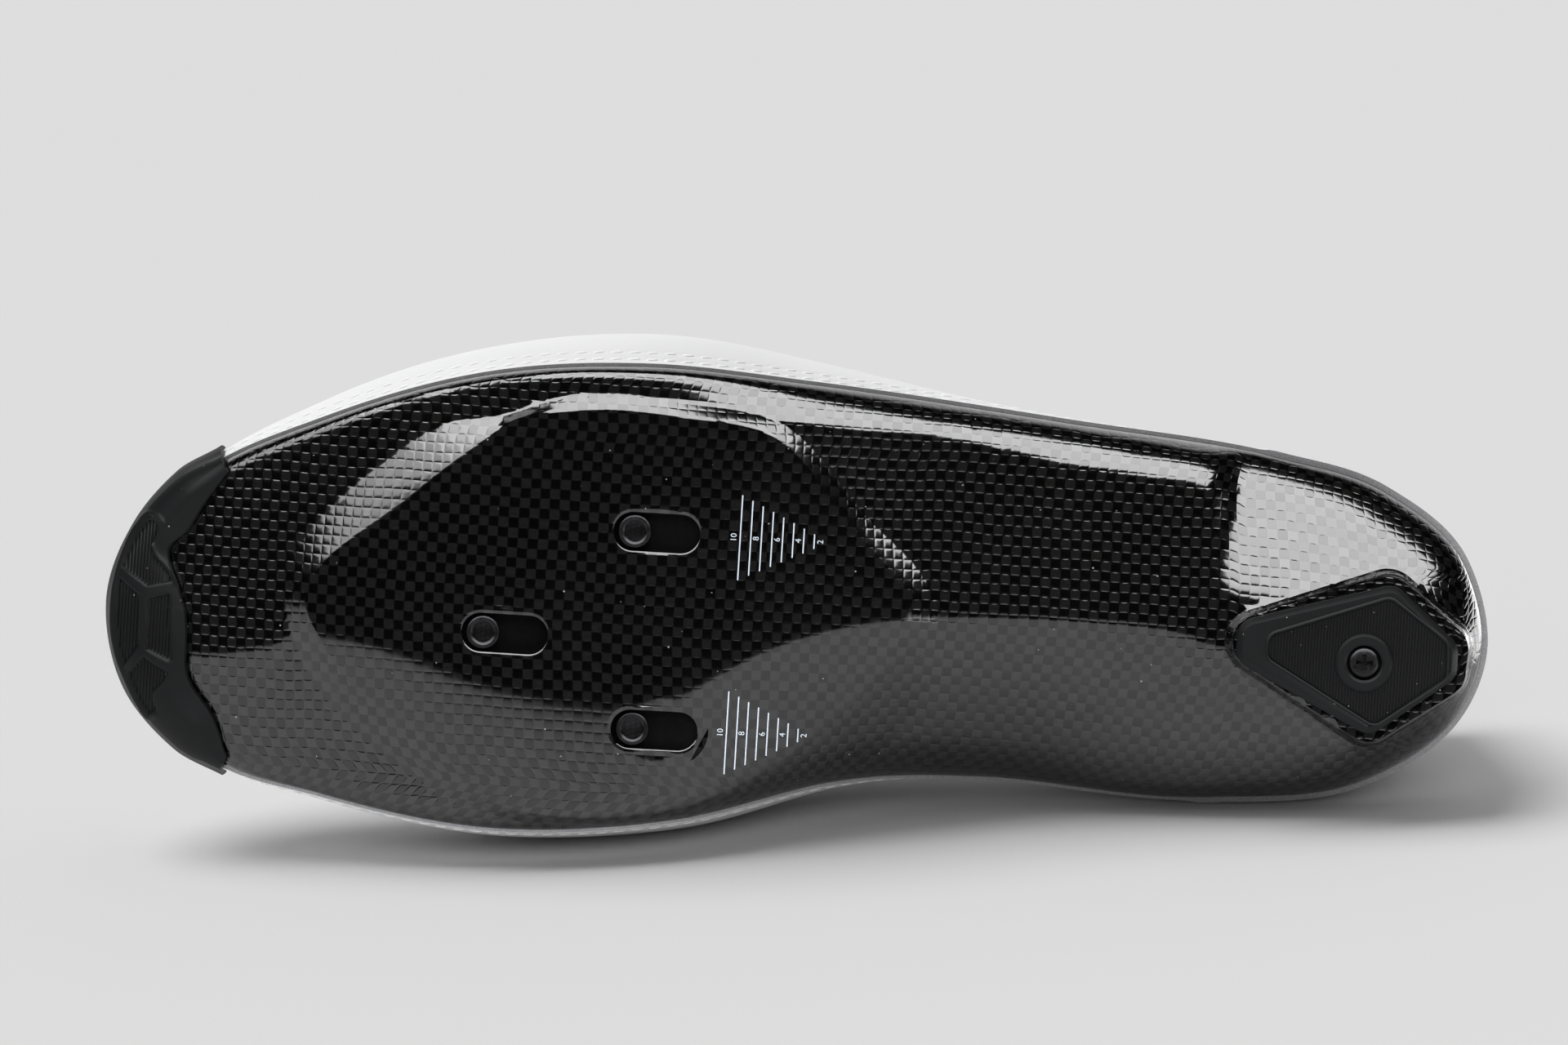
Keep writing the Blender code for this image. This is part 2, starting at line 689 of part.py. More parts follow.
# Insole: lies on the floor, on the same facets
kept = [face for face in floor_faces if inside(floor_xy[list(face)].mean(0)[None], insole_edge)[0]]
used = sorted({index for face in kept for index in face})
place = {index: position for position, index in enumerate(used)}
bed = floor[used] + (0, 0, INSOLE_LIFT)
faces = [tuple(place[index] for index in face) for face in kept]
edges = {}
for face in faces:
    for a, b in zip(face, face[1:] + face[:1]):
        edges[(a, b)] = True
border = [edge for edge in edges if edge[::-1] not in edges]
lift = len(bed)
insole_faces = faces + [tuple(index + lift for index in face) for face in faces]
insole_faces += [(a, b, b + lift, a + lift) for a, b in border]
insole_points = np.concatenate([bed, bed + (0, 0, INSOLE_THICKNESS)])
parts.append(mesh_object("insole", insole_points, insole_faces, LINING))

# Cleat slots with their pockets, and the nuts in them
for name in SLOTS:
    centre = slot_centre(name)
    slot = slot_loop(centre, SLOT_LENGTH, SLOT_WIDTH, SLOT_END_POINTS)
    pocket = slot_loop(centre, POCKET_LENGTH, POCKET_WIDTH, SLOT_END_POINTS)
    seat = (shell(pocket) + SOLE_FLOOR).min() - POCKET_DEPTH
    cutters.append(
        stacked_rings(
            "slot " + name,
            [
                at_height(slot, -CUT_BEYOND),
                at_height(slot, seat),
                at_height(pocket, seat),
                at_height(pocket, seat + CUT_BEYOND),
            ],
            STEEL,
        )
    )
    cut(sole, cutters[-1], SLOT_SOLVER[name])
    axis = centre + (NUT_FORWARD, 0)
    face = underside(circle(axis, SLOT_WIDTH / 2, NUT_SIDES)).max() + NUT_RECESS
    plate = slot_loop(centre, NUT_PLATE_LENGTH, NUT_PLATE_WIDTH, NUT_SIDES // 2)
    start = -math.pi / 2 + math.pi / NUT_SIDES
    barrel = circle(axis, NUT_RADIUS, NUT_SIDES, start)
    bore = circle(axis, NUT_BORE, NUT_SIDES, start)
    plate_face = seat + GAP
    rings = [
        at_height(bore, face),
        at_height(barrel, face),
        at_height(barrel, plate_face),
        at_height(plate, plate_face),
        at_height(plate, plate_face + NUT_PLATE_THICKNESS),
        at_height(bore, plate_face + NUT_PLATE_THICKNESS),
    ]
    parts.append(stacked_rings(name, rings, STEEL, closed_tube=True))

# Heel pad: a rubber tread with a border, a boss and a counterbored hole
screw_centre = np.array(SCREW_POINT) * (LENGTH, BALL_WIDTH)
pad_angles = np.arctan2(*(PAD_LOOP - screw_centre).T[::-1])


def pad_circle(radius):
    """Circle about the screw with its points facing those of the pad's outline."""
    return screw_centre + radius * np.column_stack([np.cos(pad_angles), np.sin(pad_angles)])


pad_base = ISLAND_LEVEL - GAP
tread = pad_base - PAD_HEIGHT
web = pad_base - PAD_SKIRT
bore_radius = SCREW_HEAD_RADIUS + FIT
rings = [
    at_height(PAD_LOOP, pad_base),
    at_height(PAD_LOOP, tread + PAD_CHAMFER),
    at_height(offset_loop(PAD_LOOP, -PAD_CHAMFER), tread),
    at_height(offset_loop(PAD_LOOP, -PAD_CHAMFER - PAD_BORDER), tread),
    at_height(offset_loop(PAD_LOOP, -PAD_CHAMFER - PAD_BORDER - PAD_RECESS), tread + PAD_RECESS),
    at_height(pad_circle(BOSS_RADIUS + PAD_RECESS), tread + PAD_RECESS),
    at_height(pad_circle(BOSS_RADIUS), tread),
    at_height(pad_circle(bore_radius), tread),
    at_height(pad_circle(bore_radius), web),
    at_height(pad_circle(SCREW_SHANK_RADIUS + FIT), web),
    at_height(pad_circle(SCREW_SHANK_RADIUS + FIT), pad_base),
]
parts.append(stacked_rings("heel_pad", rings, RUBBER, closed_tube=True))

head_seat = web - GAP
head_face = head_seat - SCREW_HEAD_HEIGHT
head_loop = circle(screw_centre, SCREW_HEAD_RADIUS, SCREW_SIDES)
shank_loop = circle(screw_centre, SCREW_SHANK_RADIUS, SCREW_SIDES)
rings = [
    at_height(circle(screw_centre, SCREW_HEAD_RADIUS * SCREW_CROWN_SHARE, SCREW_SIDES), head_face),
    at_height(head_loop, head_face + SCREW_HEAD_HEIGHT * SCREW_RIM_SHARE),
    at_height(head_loop, head_seat),
    at_height(shank_loop, head_seat),
    at_height(shank_loop, head_face + SCREW_LENGTH),
]
screw = stacked_rings("heel_pad_screw", rings, STEEL)
parts.append(screw)
reach = SCREW_HEAD_RADIUS * SCREW_CROSS_SHARE
half = SCREW_SLOT_WIDTH / 2
cross = np.array(
    [
        (reach, half), (half, half), (half, reach), (-half, reach), (-half, half), (-reach, half),
        (-reach, -half), (-half, -half), (-half, -reach), (half, -reach), (half, -half), (reach, -half),
    ]
) + screw_centre
cutters.append(
    stacked_rings(
        "driver recess",
        [at_height(cross, head_face - SCREW_SLOT_DEPTH), at_height(cross, head_face + SCREW_SLOT_DEPTH)],
        STEEL,
    )
)
cut(screw, cutters[-1])
hole = circle(screw_centre, SCREW_SHANK_RADIUS + FIT, SCREW_SIDES)
cutters.append(
    stacked_rings(
        "screw hole",
        [at_height(hole, tread), at_height(hole, head_face + SCREW_LENGTH + GAP)],
        STEEL,
    )
)
cut(sole, cutters[-1])

# Upper: one wall around the rim, open at the collar and down the throat
reach = open_share(outer_s)
outside = []
lined = []
for row in np.linspace(0, 1, WALL_ROWS):
    ring = last(outer_s, reach * row)
    outside.append(ring)
    lined.append(ring - last_normal(outer_s, reach * row) * UPPER_WALL)
lined[0] = outside[0] - np.column_stack([rim_outward(outer_s), np.zeros(RIM_COLUMNS)]) * UPPER_WALL
parts.append(stacked_rings("upper", outside + lined[::-1], WHITE, closed_tube=True))


def under(s, t, depth):
    """Point below the outer face of the upper."""
    return last(s, t) - last_normal(s, t) * depth


def bridge(s, t, depth, count):
    """Arch over the throat from the lateral to the medial side of a section."""
    step = 0.02
    t = np.full(1, t)
    left, right = np.full(1, s), np.full(1, 1 - s)
    a, d = under(left, t, depth)[0], under(right, t, depth)[0]
    gap = np.linalg.norm(a - d)
    rise_a = a - under(left, t - step, depth)[0]
    rise_d = d - under(right, t - step, depth)[0]
    b = a + rise_a / np.linalg.norm(rise_a) * gap / 3
    c = d + rise_d / np.linalg.norm(rise_d) * gap / 3
    return bezier((a, b, c, d), np.linspace(0, 1, count))


# Tongue: lies under the edges of the throat and arches across it
throat_s = np.linspace(station[5] * THROAT_START, 0.5, TONGUE_COLUMNS)


def tongue_sheet(depth):
    """One face of the tongue: sections from the throat's top to its front."""
    sections = []
    for s in throat_s:
        t = float(open_share(np.array([s]))[0])
        laps = [t - TONGUE_LAP * lap for lap in TONGUE_LAP_SHARES]
        left = [under(np.full(1, s), np.full(1, lap), depth)[0] for lap in laps]
        right = [under(np.full(1, 1 - s), np.full(1, lap), depth)[0] for lap in laps[::-1]]
        sections.append(np.array(left + list(bridge(s, t, depth, TONGUE_ARCH_POINTS)) + right))
    top, second = sections[0], sections[1]
    climb = top.mean(0) - second.mean(0)
    climb /= np.linalg.norm(climb)
    middle = top.mean(0)
    for share, width in TONGUE_TOP:
        raised = middle + (top - middle) * (1.0, width, width)
        sections.insert(0, raised + climb * TONGUE_RISE * share)
    return sections


upper_side = tongue_sheet(UPPER_WALL + FIT)
foot_side = tongue_sheet(UPPER_WALL + FIT + TONGUE_THICKNESS)
width = len(upper_side[0])
count = len(upper_side)
points = np.concatenate(upper_side + foot_side)
faces = []
for base in (0, count * width):
    for row in range(count - 1):
        for column in range(width - 1):
            a = base + row * width + column
            faces.append((a, a + 1, a + width + 1, a + width))
rim = list(range(width))
rim += [row * width + width - 1 for row in range(1, count)]
rim += [row * width for row in range(count - 1, 0, -1)]
foot_base = count * width
faces += [(a, b, b + foot_base, a + foot_base) for a, b in zip(rim, rim[1:] + rim[:1])]
parts.append(mesh_object("tongue", points, faces, WHITE, weld=True))

# Toe bumper: follows the toe from under the sole, over the rim and up the wall
ends = rim_place(np.array([(x * LENGTH, y * BALL_WIDTH) for x, y in BUMPER_ENDS]))[1]
first = round(ends[0] * 2 * RIM_COLUMNS)
final = round(ends[1] * 2 * RIM_COLUMNS)
bumper_s = np.arange(first, final + 1) / (2 * RIM_COLUMNS)
along = np.linspace(0, 1, len(bumper_s))
tuck = hermite(np.linspace(0, 1, len(BUMPER_TUCK)), np.array(BUMPER_TUCK), along)
out = np.column_stack([rim_outward(bumper_s), np.zeros(len(bumper_s))])
down = np.array([0.0, 0.0, -1.0])


def sole_skin(inset):
    """Points on the underside set in from the rim, and the way out of the sole there."""
    step = SKIN_STEP
    plan = rim_xy(bumper_s) - out[:, :2] * np.reshape(inset, (-1, 1))
    height = underside(plan)
    slope_x = (underside(plan + (step, 0)) - underside(plan - (step, 0))) / (2 * step)
    slope_y = (underside(plan + (0, step)) - underside(plan - (0, step))) / (2 * step)
    normal = np.column_stack([slope_x, slope_y, -np.ones(len(plan))])
    return at_height(plan, height), normal / np.linalg.norm(normal, axis=1, keepdims=True)


edge_point = at_height(rim_xy(bumper_s), rim_height(bumper_s) - RIM_LIP)
corner = (out + down) / math.sqrt(2)
rim_point = at_height(rim_xy(bumper_s), rim_height(bumper_s))
half_climb, full_climb = (np.full(len(bumper_s), BUMPER_CLIMB * share) for share in (0.5, 1.0))
profile = [sole_skin(tuck * share) for share in BUMPER_INSETS]
profile += [
    (edge_point, corner),
    (rim_point, out),
    (last(bumper_s, half_climb), last_normal(bumper_s, half_climb)),
    (last(bumper_s, full_climb), last_normal(bumper_s, full_climb)),
]
from_end = ease(np.minimum(along, 1 - along) / BUMPER_END_LENGTH)
end_taper = (BUMPER_END_SHARE + (1 - BUMPER_END_SHARE) * from_end)[:, None]
skin = [point + normal * FIT for point, normal in profile]
face_out = [
    point + normal * (FIT + BUMPER_THICKNESS * share * end_taper)
    for (point, normal), share in zip(profile, BUMPER_PROFILE)
]
bumper_rings = list(np.stack(skin + face_out[::-1], axis=1))
ring_size = len(bumper_rings[0])
faces = []
for index in range(len(bumper_rings) - 1):
    faces += ring_strip(index * ring_size, (index + 1) * ring_size, ring_size)
for base in (0, (len(bumper_rings) - 1) * ring_size):
    for i in range(len(profile) - 1):
        j = ring_size - 1 - i
        faces.append((base + i, base + i + 1, base + j - 1, base + j))
parts.append(mesh_object("toe_bumper", np.concatenate(bumper_rings), faces, RUBBER))

# Lace: bars across the throat, joined in turn along its lateral and medial edges
edge_s = np.linspace(station[5] * LACE_SPAN, station[7] * LACE_SPAN, LACE_BARS)


def lace_point(s, back):
    """Place over the edge of the throat, a little back from it."""
    t = open_share(np.array([s])) - back
    return under(np.array([s]), t, -LACE_RADIUS - LACE_CLEAR)[0]


lace_path = []
for index, s in enumerate(edge_s):
    t = float(open_share(np.array([s]))[0]) - LACE_BACK
    bar = bridge(s, t, -LACE_RADIUS - LACE_CLEAR, LACE_BAR_POINTS)
    lace_path += list(bar if index % 2 == 0 else bar[::-1])
    if index + 1 < LACE_BARS:
        for share in (1 / 3, 2 / 3):
            between = s + (edge_s[index + 1] - s) * share
            lace_path.append(lace_point(1 - between if index % 2 == 0 else between, LACE_RUN_BACK))
lace_path = np.array(lace_path)


def tube(path, radius, sides):
    """Rings of a round cord along a path."""
    along = np.gradient(path, axis=0)
    along /= np.linalg.norm(along, axis=1, keepdims=True)
    side = np.cross(along[0], (0.0, 0.0, 1.0))
    made = []
    for point, forward in zip(path, along):
        side = side - forward * (side @ forward)
        side /= np.linalg.norm(side)
        third = np.cross(forward, side)
        angles = np.arange(sides) / sides * math.tau
        made.append(point + radius * (np.outer(np.cos(angles), side) + np.outer(np.sin(angles), third)))
    return made


parts.append(stacked_rings("lace", tube(lace_path, LACE_RADIUS, LACE_SIDES), LACE))


# Faces of the hull that look to the medial side have a normal below this in y
MEDIAL_FACING = -0.7


def solid_measure(thing):
    """Volume and centre of a closed mesh, and its points."""
    shape = bmesh.new()
    shape.from_mesh(thing.data)
    bmesh.ops.triangulate(shape, faces=shape.faces)
    corners = np.array([[tuple(vertex.co) for vertex in face.verts] for face in shape.faces])
    points = np.array([tuple(vertex.co) for vertex in shape.verts])
    shape.free()
    volumes = np.einsum("ij,ij->i", corners[:, 0], np.cross(corners[:, 1], corners[:, 2])) / 6
    centre = (corners.sum(1) / 4 * volumes[:, None]).sum(0) / volumes.sum()
    return volumes.sum(), centre, points


def resting_face(points, balance):
    """Outward normal of the hull's face on the medial side that lies under a point."""
    hull = bmesh.new()
    for point in points:
        hull.verts.new(point)
    bmesh.ops.convex_hull(hull, input=hull.verts)
    found = None
    for face in hull.faces:
        if face.normal.y > MEDIAL_FACING:
            continue
        corners = [vertex.co for vertex in face.verts]
        ring = zip(corners, corners[1:] + corners[:1])
        if all((b - a).cross(balance - a).dot(face.normal) > 0 for a, b in ring):
            found = face.normal.copy()
    hull.free()
    return found


measures = [solid_measure(thing) for thing in parts]
total = sum(volume for volume, _, _ in measures)
balance = Vector(sum(volume * centre for volume, centre, _ in measures) / total)
down = resting_face(np.concatenate([points for _, _, points in measures]), balance)

# Laid down: the resting face to the floor, the toe towards -X, the sole towards -Y
rise = -down
toe = Vector((1, 0, 0))
right = -(toe - rise * toe.dot(rise)).normalized()
back = rise.cross(right)
turn = Matrix((right, back, rise))
laid = np.concatenate([points for _, _, points in measures]) @ np.array(turn).T
low, high = laid.min(0), laid.max(0)
shift = Vector((-(low[0] + high[0]) / 2, -(low[1] + high[1]) / 2, -low[2]))
for thing in parts + cutters:
    thing.data.transform(Matrix.Translation(shift) @ turn.to_4x4())
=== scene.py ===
# %% [markdown]
# # A left road cycling shoe, lying on its inner side
#
# A road shoe is built round a stiff moulded sole. The upper is glued and stitched to
# its rim, threaded nuts sit in slots in the sole, and a rubber bumper and a screwed
# heel pad take the wear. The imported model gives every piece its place. This script
# dresses it: each piece is made again with finer shape and a finish of its own.

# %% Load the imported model
import json
import math

import bmesh
import bpy
import numpy as np
from mathutils import Matrix, Vector
from mathutils.bvhtree import BVHTree
from mathutils.geometry import delaunay_2d_cdt

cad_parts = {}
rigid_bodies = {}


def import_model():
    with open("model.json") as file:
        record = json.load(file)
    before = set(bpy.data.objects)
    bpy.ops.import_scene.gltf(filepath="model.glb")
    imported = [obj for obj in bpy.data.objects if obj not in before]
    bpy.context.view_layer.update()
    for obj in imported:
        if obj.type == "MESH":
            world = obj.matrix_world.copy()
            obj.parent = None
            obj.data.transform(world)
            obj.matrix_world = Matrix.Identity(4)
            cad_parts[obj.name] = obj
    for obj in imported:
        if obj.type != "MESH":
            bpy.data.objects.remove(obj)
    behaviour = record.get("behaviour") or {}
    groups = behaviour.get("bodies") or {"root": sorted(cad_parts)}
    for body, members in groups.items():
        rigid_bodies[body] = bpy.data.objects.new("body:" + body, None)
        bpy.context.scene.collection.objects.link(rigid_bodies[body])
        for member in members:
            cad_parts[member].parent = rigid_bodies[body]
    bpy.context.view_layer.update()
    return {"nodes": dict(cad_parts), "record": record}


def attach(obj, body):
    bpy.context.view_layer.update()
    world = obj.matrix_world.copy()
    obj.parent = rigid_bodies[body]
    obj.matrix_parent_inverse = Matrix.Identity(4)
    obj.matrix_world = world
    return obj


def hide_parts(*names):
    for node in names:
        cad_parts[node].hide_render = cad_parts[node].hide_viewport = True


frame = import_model()
print("nodes:", ", ".join(sorted(frame["nodes"])))

# %% [markdown]
# ## The sizes the shoe is drawn from
#
# The shoe has a frame of its own: x runs from heel to toe, y to the outer (lateral)
# side, z up from the ground. The tables follow the ones the solids are made from, so a
# finer surface lands on the same rim and crest. Only the low forms of the sole differ
# here: its ramps, the end of its spine and two chamfers. Lengths are in metres, and the
# numbers in the tables are shares of the named sizes.

# %% Main sizes and tables
MM = 0.001
LENGTH = 0.285
BALL_WIDTH = 0.0965
INSTEP_HEIGHT = 0.096
ARCH_HEIGHT = 0.020
UPPER_WALL = 0.0020
GAP = 0.0003
FIT = 0.0004
SOLE_FLOOR = 0.0030
RIM_WIDTH = 0.0030
RIM_LIP = 0.0022

# Rim of the sole, and the ramp and rounded edge of its sides, from heel to toe
#    lat x   lat y   med x   med y
RIM = (
    (0.004, -0.010, 0.004, -0.010),
    (0.023, 0.172, 0.022, -0.176),
    (0.080, 0.302, 0.088, -0.321),
    (0.158, 0.362, 0.193, -0.373),
    (0.318, 0.411, 0.358, -0.365),
    (0.496, 0.458, 0.469, -0.393),
    (0.614, 0.478, 0.579, -0.483),
    (0.733, 0.439, 0.709, -0.523),
    (0.848, 0.321, 0.836, -0.477),
    (0.930, 0.195, 0.919, -0.414),
    (0.974, 0.052, 0.975, -0.266),
    (0.9895, -0.100, 0.9895, -0.100),
)
#    lat ramp      lat edge      med ramp      med edge
#    width  rise   width  rise   width  rise   width  rise
SIDES = (
    (0.12, 0.15, 0.13, 0.50, 0.12, 0.15, 0.13, 0.50),
    (0.18, 0.30, 0.12, 0.45, 0.14, 0.20, 0.13, 0.50),
    (0.26, 0.52, 0.11, 0.40, 0.18, 0.30, 0.13, 0.50),
    (0.31, 0.48, 0.10, 0.32, 0.34, 0.52, 0.12, 0.45),
    (0.088, 0.06, 0.088, 0.48, 0.35, 0.82, 0.10, 0.36),
    (0.079, 0.27, 0.030, 0.19, 0.32, 0.58, 0.09, 0.30),
    (0.12, 0.02, 0.022, 0.25, 0.26, 0.15, 0.05, 0.22),
    (0.16, 0.02, 0.018, 0.26, 0.31, 0.18, 0.04, 0.18),
    (0.18, 0.03, 0.020, 0.25, 0.35, 0.30, 0.04, 0.18),
    (0.14, 0.04, 0.030, 0.22, 0.30, 0.24, 0.05, 0.18),
    (0.12, 0.06, 0.05, 0.18, 0.14, 0.10, 0.05, 0.18),
    (0.12, 0.06, 0.05, 0.18, 0.12, 0.06, 0.05, 0.18),
)
RAMP_POWER = 1.2
SPINE_START = 0.10
SPINE_LENGTH = 0.32
# Height of the underside along the middle
KEEL = (
    (0.00, 0.34), (0.08, 0.28), (0.16, 0.27), (0.25, 0.40), (0.34, 0.57),
    (0.42, 0.58), (0.50, 0.38), (0.56, 0.22), (0.62, 0.135), (0.68, 0.11),
    (0.74, 0.14), (0.80, 0.26), (0.87, 0.52), (0.93, 0.84), (1.00, 1.30),
)
# Where each section ends above, and how far up it the upper reaches
#    x      lat y   med y   z     open
CREST = (
    (0.030, -0.010, -0.010, 0.77, 1.00),
    (0.046, 0.125, -0.145, 0.75, 1.00),
    (0.100, 0.240, -0.262, 0.68, 1.00),
    (0.180, 0.285, -0.300, 0.63, 1.00),
    (0.285, 0.225, -0.250, 0.70, 1.00),
    (0.385, -0.012, -0.012, 0.98, 0.85),
    (0.465, -0.020, -0.020, 0.88, 0.865),
    (0.545, -0.030, -0.030, 0.765, 0.90),
    (0.596, -0.035, -0.035, 0.705, 0.93),
    (0.618, -0.038, -0.038, 0.682, 0.945),
    (0.625, -0.040, -0.040, 0.675, 0.950),
    (0.628, -0.040, -0.040, 0.672, 0.952),
)
# How the wall leaves the rim and comes to the crest
#    lat lean  med lean  lower  flat  upper
CURVE = (
    (0.10, 0.10, 0.34, 0.10, 0.34),
    (0.12, 0.12, 0.34, 0.12, 0.34),
    (0.16, 0.16, 0.34, 0.14, 0.34),
    (0.20, 0.18, 0.34, 0.16, 0.34),
    (0.28, 0.22, 0.36, 0.30, 0.36),
    (0.44, 0.30, 0.42, 0.78, 0.36),
    (0.54, 0.32, 0.44, 0.88, 0.36),
    (0.54, 0.32, 0.42, 0.92, 0.40),
    (0.50, 0.32, 0.36, 0.94, 0.46),
    (0.34, 0.28, 0.30, 0.95, 0.50),
    (0.20, 0.20, 0.26, 0.955, 0.52),
    (0.18, 0.18, 0.25, 0.96, 0.54),
)
# Cleat platform and heel island: corners, and the width of the platform's chamfer
PLATFORM_RISE = 0.0022
PLATFORM = (
    (0.420, -0.005, 0.060), (0.465, 0.170, 0.035), (0.525, 0.350, 0.030),
    (0.590, 0.380, 0.030), (0.665, 0.380, 0.030), (0.712, 0.348, 0.018),
    (0.740, 0.280, 0.075), (0.780, 0.175, 0.095),
    (0.852, -0.060, 0.050), (0.826, -0.205, 0.060), (0.765, -0.330, 0.080),
    (0.715, -0.455, 0.030), (0.625, -0.478, 0.030), (0.555, -0.430, 0.045),
    (0.495, -0.320, 0.100), (0.440, -0.150, 0.110),
)
ISLAND_LEVEL = 0.0032
ISLAND_CHAMFER = 0.0015
ISLAND_CORNER_RADIUS = 0.0055
ISLAND = ((0.212, -0.012), (0.073, 0.138), (0.016, 0.010), (0.018, -0.093), (0.084, -0.232))
PAD_CORNERS = (
    (0.183, -0.066), (0.183, 0.018), (0.072, 0.117),
    (0.024, -0.005), (0.024, -0.073), (0.084, -0.209),
)
TREAD_CORNERS = (
    (0.161, -0.056), (0.161, -0.006), (0.075, 0.089),
    (0.032, 0.002), (0.031, -0.078), (0.081, -0.187),
)
SLOTS = {
    "cleat_nut_front": (0.7075, -0.103),
    "cleat_nut_lateral": (0.6030, 0.130),
    "cleat_nut_medial": (0.5965, -0.289),
}
print("shoe of %.0f by %.1f mm" % (LENGTH / MM, BALL_WIDTH / MM))

# %% [markdown]
# ## Curves through the tables
#
# A table gives a value at a dozen places round the rim. Straight lines between them
# would leave a faceted shoe, and one high polynomial would swing. A chain of cubic
# pieces passes through every value and keeps its slope from piece to piece.


# %% Smooth curves
def through(knots, values, where, period=None):
    """Smooth curve through the values at the knots, periodic if a period is given."""
    if period:
        knots = np.concatenate([knots[-2:] - period, knots, knots[:2] + period])
        values = np.concatenate([values[-2:], values, values[:2]])
        where = where % period
    slopes = np.gradient(values, knots, axis=0)
    index = np.clip(np.searchsorted(knots, where, side="right") - 1, 0, len(knots) - 2)
    span = knots[index + 1] - knots[index]
    t = (where - knots[index]) / span
    shape = (-1,) + (1,) * (values.ndim - 1)
    t, span = t.reshape(shape), span.reshape(shape)
    return (
        values[index] * (1 + 2 * t) * (1 - t) ** 2
        + slopes[index] * span * t * (1 - t) ** 2
        + values[index + 1] * t * t * (3 - 2 * t)
        + slopes[index + 1] * span * t * t * (t - 1)
    )


def loop_rows(lateral, medial):
    """Rows of a closed loop: lateral side forward, then the medial side back."""
    return np.concatenate([lateral, medial[-2:0:-1]])


rim_table = np.array(RIM) * (LENGTH, BALL_WIDTH, LENGTH, BALL_WIDTH)
mean_steps = 0.5 * (
    np.linalg.norm(np.diff(rim_table[:, :2], axis=0), axis=1)
    + np.linalg.norm(np.diff(rim_table[:, 2:], axis=0), axis=1)
)
station = np.concatenate([[0.0], np.cumsum(mean_steps)]) / (2 * mean_steps.sum())
LOOP_KNOTS = loop_rows(station, 1.0 - station)
side_table = np.array(SIDES) * ((BALL_WIDTH, ARCH_HEIGHT) * 4)
crest_table = np.array(CREST)
curve_table = np.array(CURVE)
ROWS = {
    "rim": loop_rows(rim_table[:, :2], rim_table[:, 2:]),
    "sides": loop_rows(side_table[:, :4], side_table[:, 4:]),
    "crest": loop_rows(crest_table[:, [0, 1, 3, 4]], crest_table[:, [0, 2, 3, 4]]),
    "curve": loop_rows(curve_table[:, [0, 2, 3, 4]], curve_table[:, 1:5]),
}
print("places of the sections round the rim:", station.round(3))


# %% The rim in plan
def around(table, s):
    """Value of a closed table at places s round the rim, 0 and 1 at the heel back."""
    return through(LOOP_KNOTS, ROWS[table], np.asarray(s, dtype=float), 1.0)


def rim_outward(s):
    """Unit vector pointing out of the rim in plan."""
    step = 1e-4
    along = around("rim", s + step) - around("rim", s - step)
    along /= np.linalg.norm(along, axis=1, keepdims=True)
    return np.stack([-along[:, 1], along[:, 0]], axis=1)


def closest(points, loop, closed=True, block=3000):
    """Distance of each point to a polyline, the segment and the share along it."""
    start = loop if closed else loop[:-1]
    run = (np.roll(loop, -1, axis=0) if closed else loop[1:]) - start
    length = (run * run).sum(1)
    found = []
    for first in range(0, len(points), block):
        offset = points[first:first + block, None] - start[None]
        share = np.clip((offset * run).sum(2) / length, 0, 1)
        gaps = np.linalg.norm(offset - share[..., None] * run, axis=2)
        best = gaps.argmin(axis=1)
        rows = np.arange(len(best))
        found.append(np.column_stack([gaps[rows, best], best, share[rows, best]]))
    found = np.concatenate(found)
    return found[:, 0], found[:, 1].astype(int), found[:, 2]


def inside(points, loop):
    """Whether each point in plan lies in a closed loop."""
    a, b = loop, np.roll(loop, -1, axis=0)
    x, y = points[:, 0, None], points[:, 1, None]
    crosses = (a[:, 1] > y) != (b[:, 1] > y)
    rise = np.where(b[:, 1] == a[:, 1], 1.0, b[:, 1] - a[:, 1])
    at = a[:, 0] + (y - a[:, 1]) * (b[:, 0] - a[:, 0]) / rise
    return (crosses & (x < at)).sum(1) % 2 == 1


SAMPLES = 720
SAMPLE_XY = around("rim", np.arange(SAMPLES) / SAMPLES)


def rim_place(points):
    """Distance in from the rim and the place round it of points in plan."""
    depth, index, share = closest(points, SAMPLE_XY)
    return depth, (index + share) / SAMPLES


def offset_loop(loop, distance):
    """Loop moved outwards, or inwards for a negative distance."""
    along = np.roll(loop, -1, axis=0) - np.roll(loop, 1, axis=0)
    along /= np.linalg.norm(along, axis=1, keepdims=True)
    normal = np.column_stack([along[:, 1], -along[:, 0]])
    area = np.cross(loop, np.roll(loop, -1, axis=0)).sum()
    return loop + normal * distance * np.sign(area)


def ease(value):
    """Smooth step from 0 to 1."""
    value = np.clip(value, 0.0, 1.0)
    return value * value * (3 - 2 * value)


print("rim length %.0f mm" % (np.linalg.norm(np.diff(SAMPLE_XY, axis=0), axis=1).sum() / MM))


# %% Rounded outlines of the platform, the island and the pad
def smooth_loop(rows, count):
    """Closed curve through a few points, with any further columns carried along."""
    rows = np.array(rows, dtype=float)
    steps = np.linalg.norm(np.roll(rows[:, :2], -1, axis=0) - rows[:, :2], axis=1)
    knots = np.concatenate([[0.0], np.cumsum(steps)[:-1]])
    return through(knots, rows, np.arange(count) / count * steps.sum(), steps.sum())


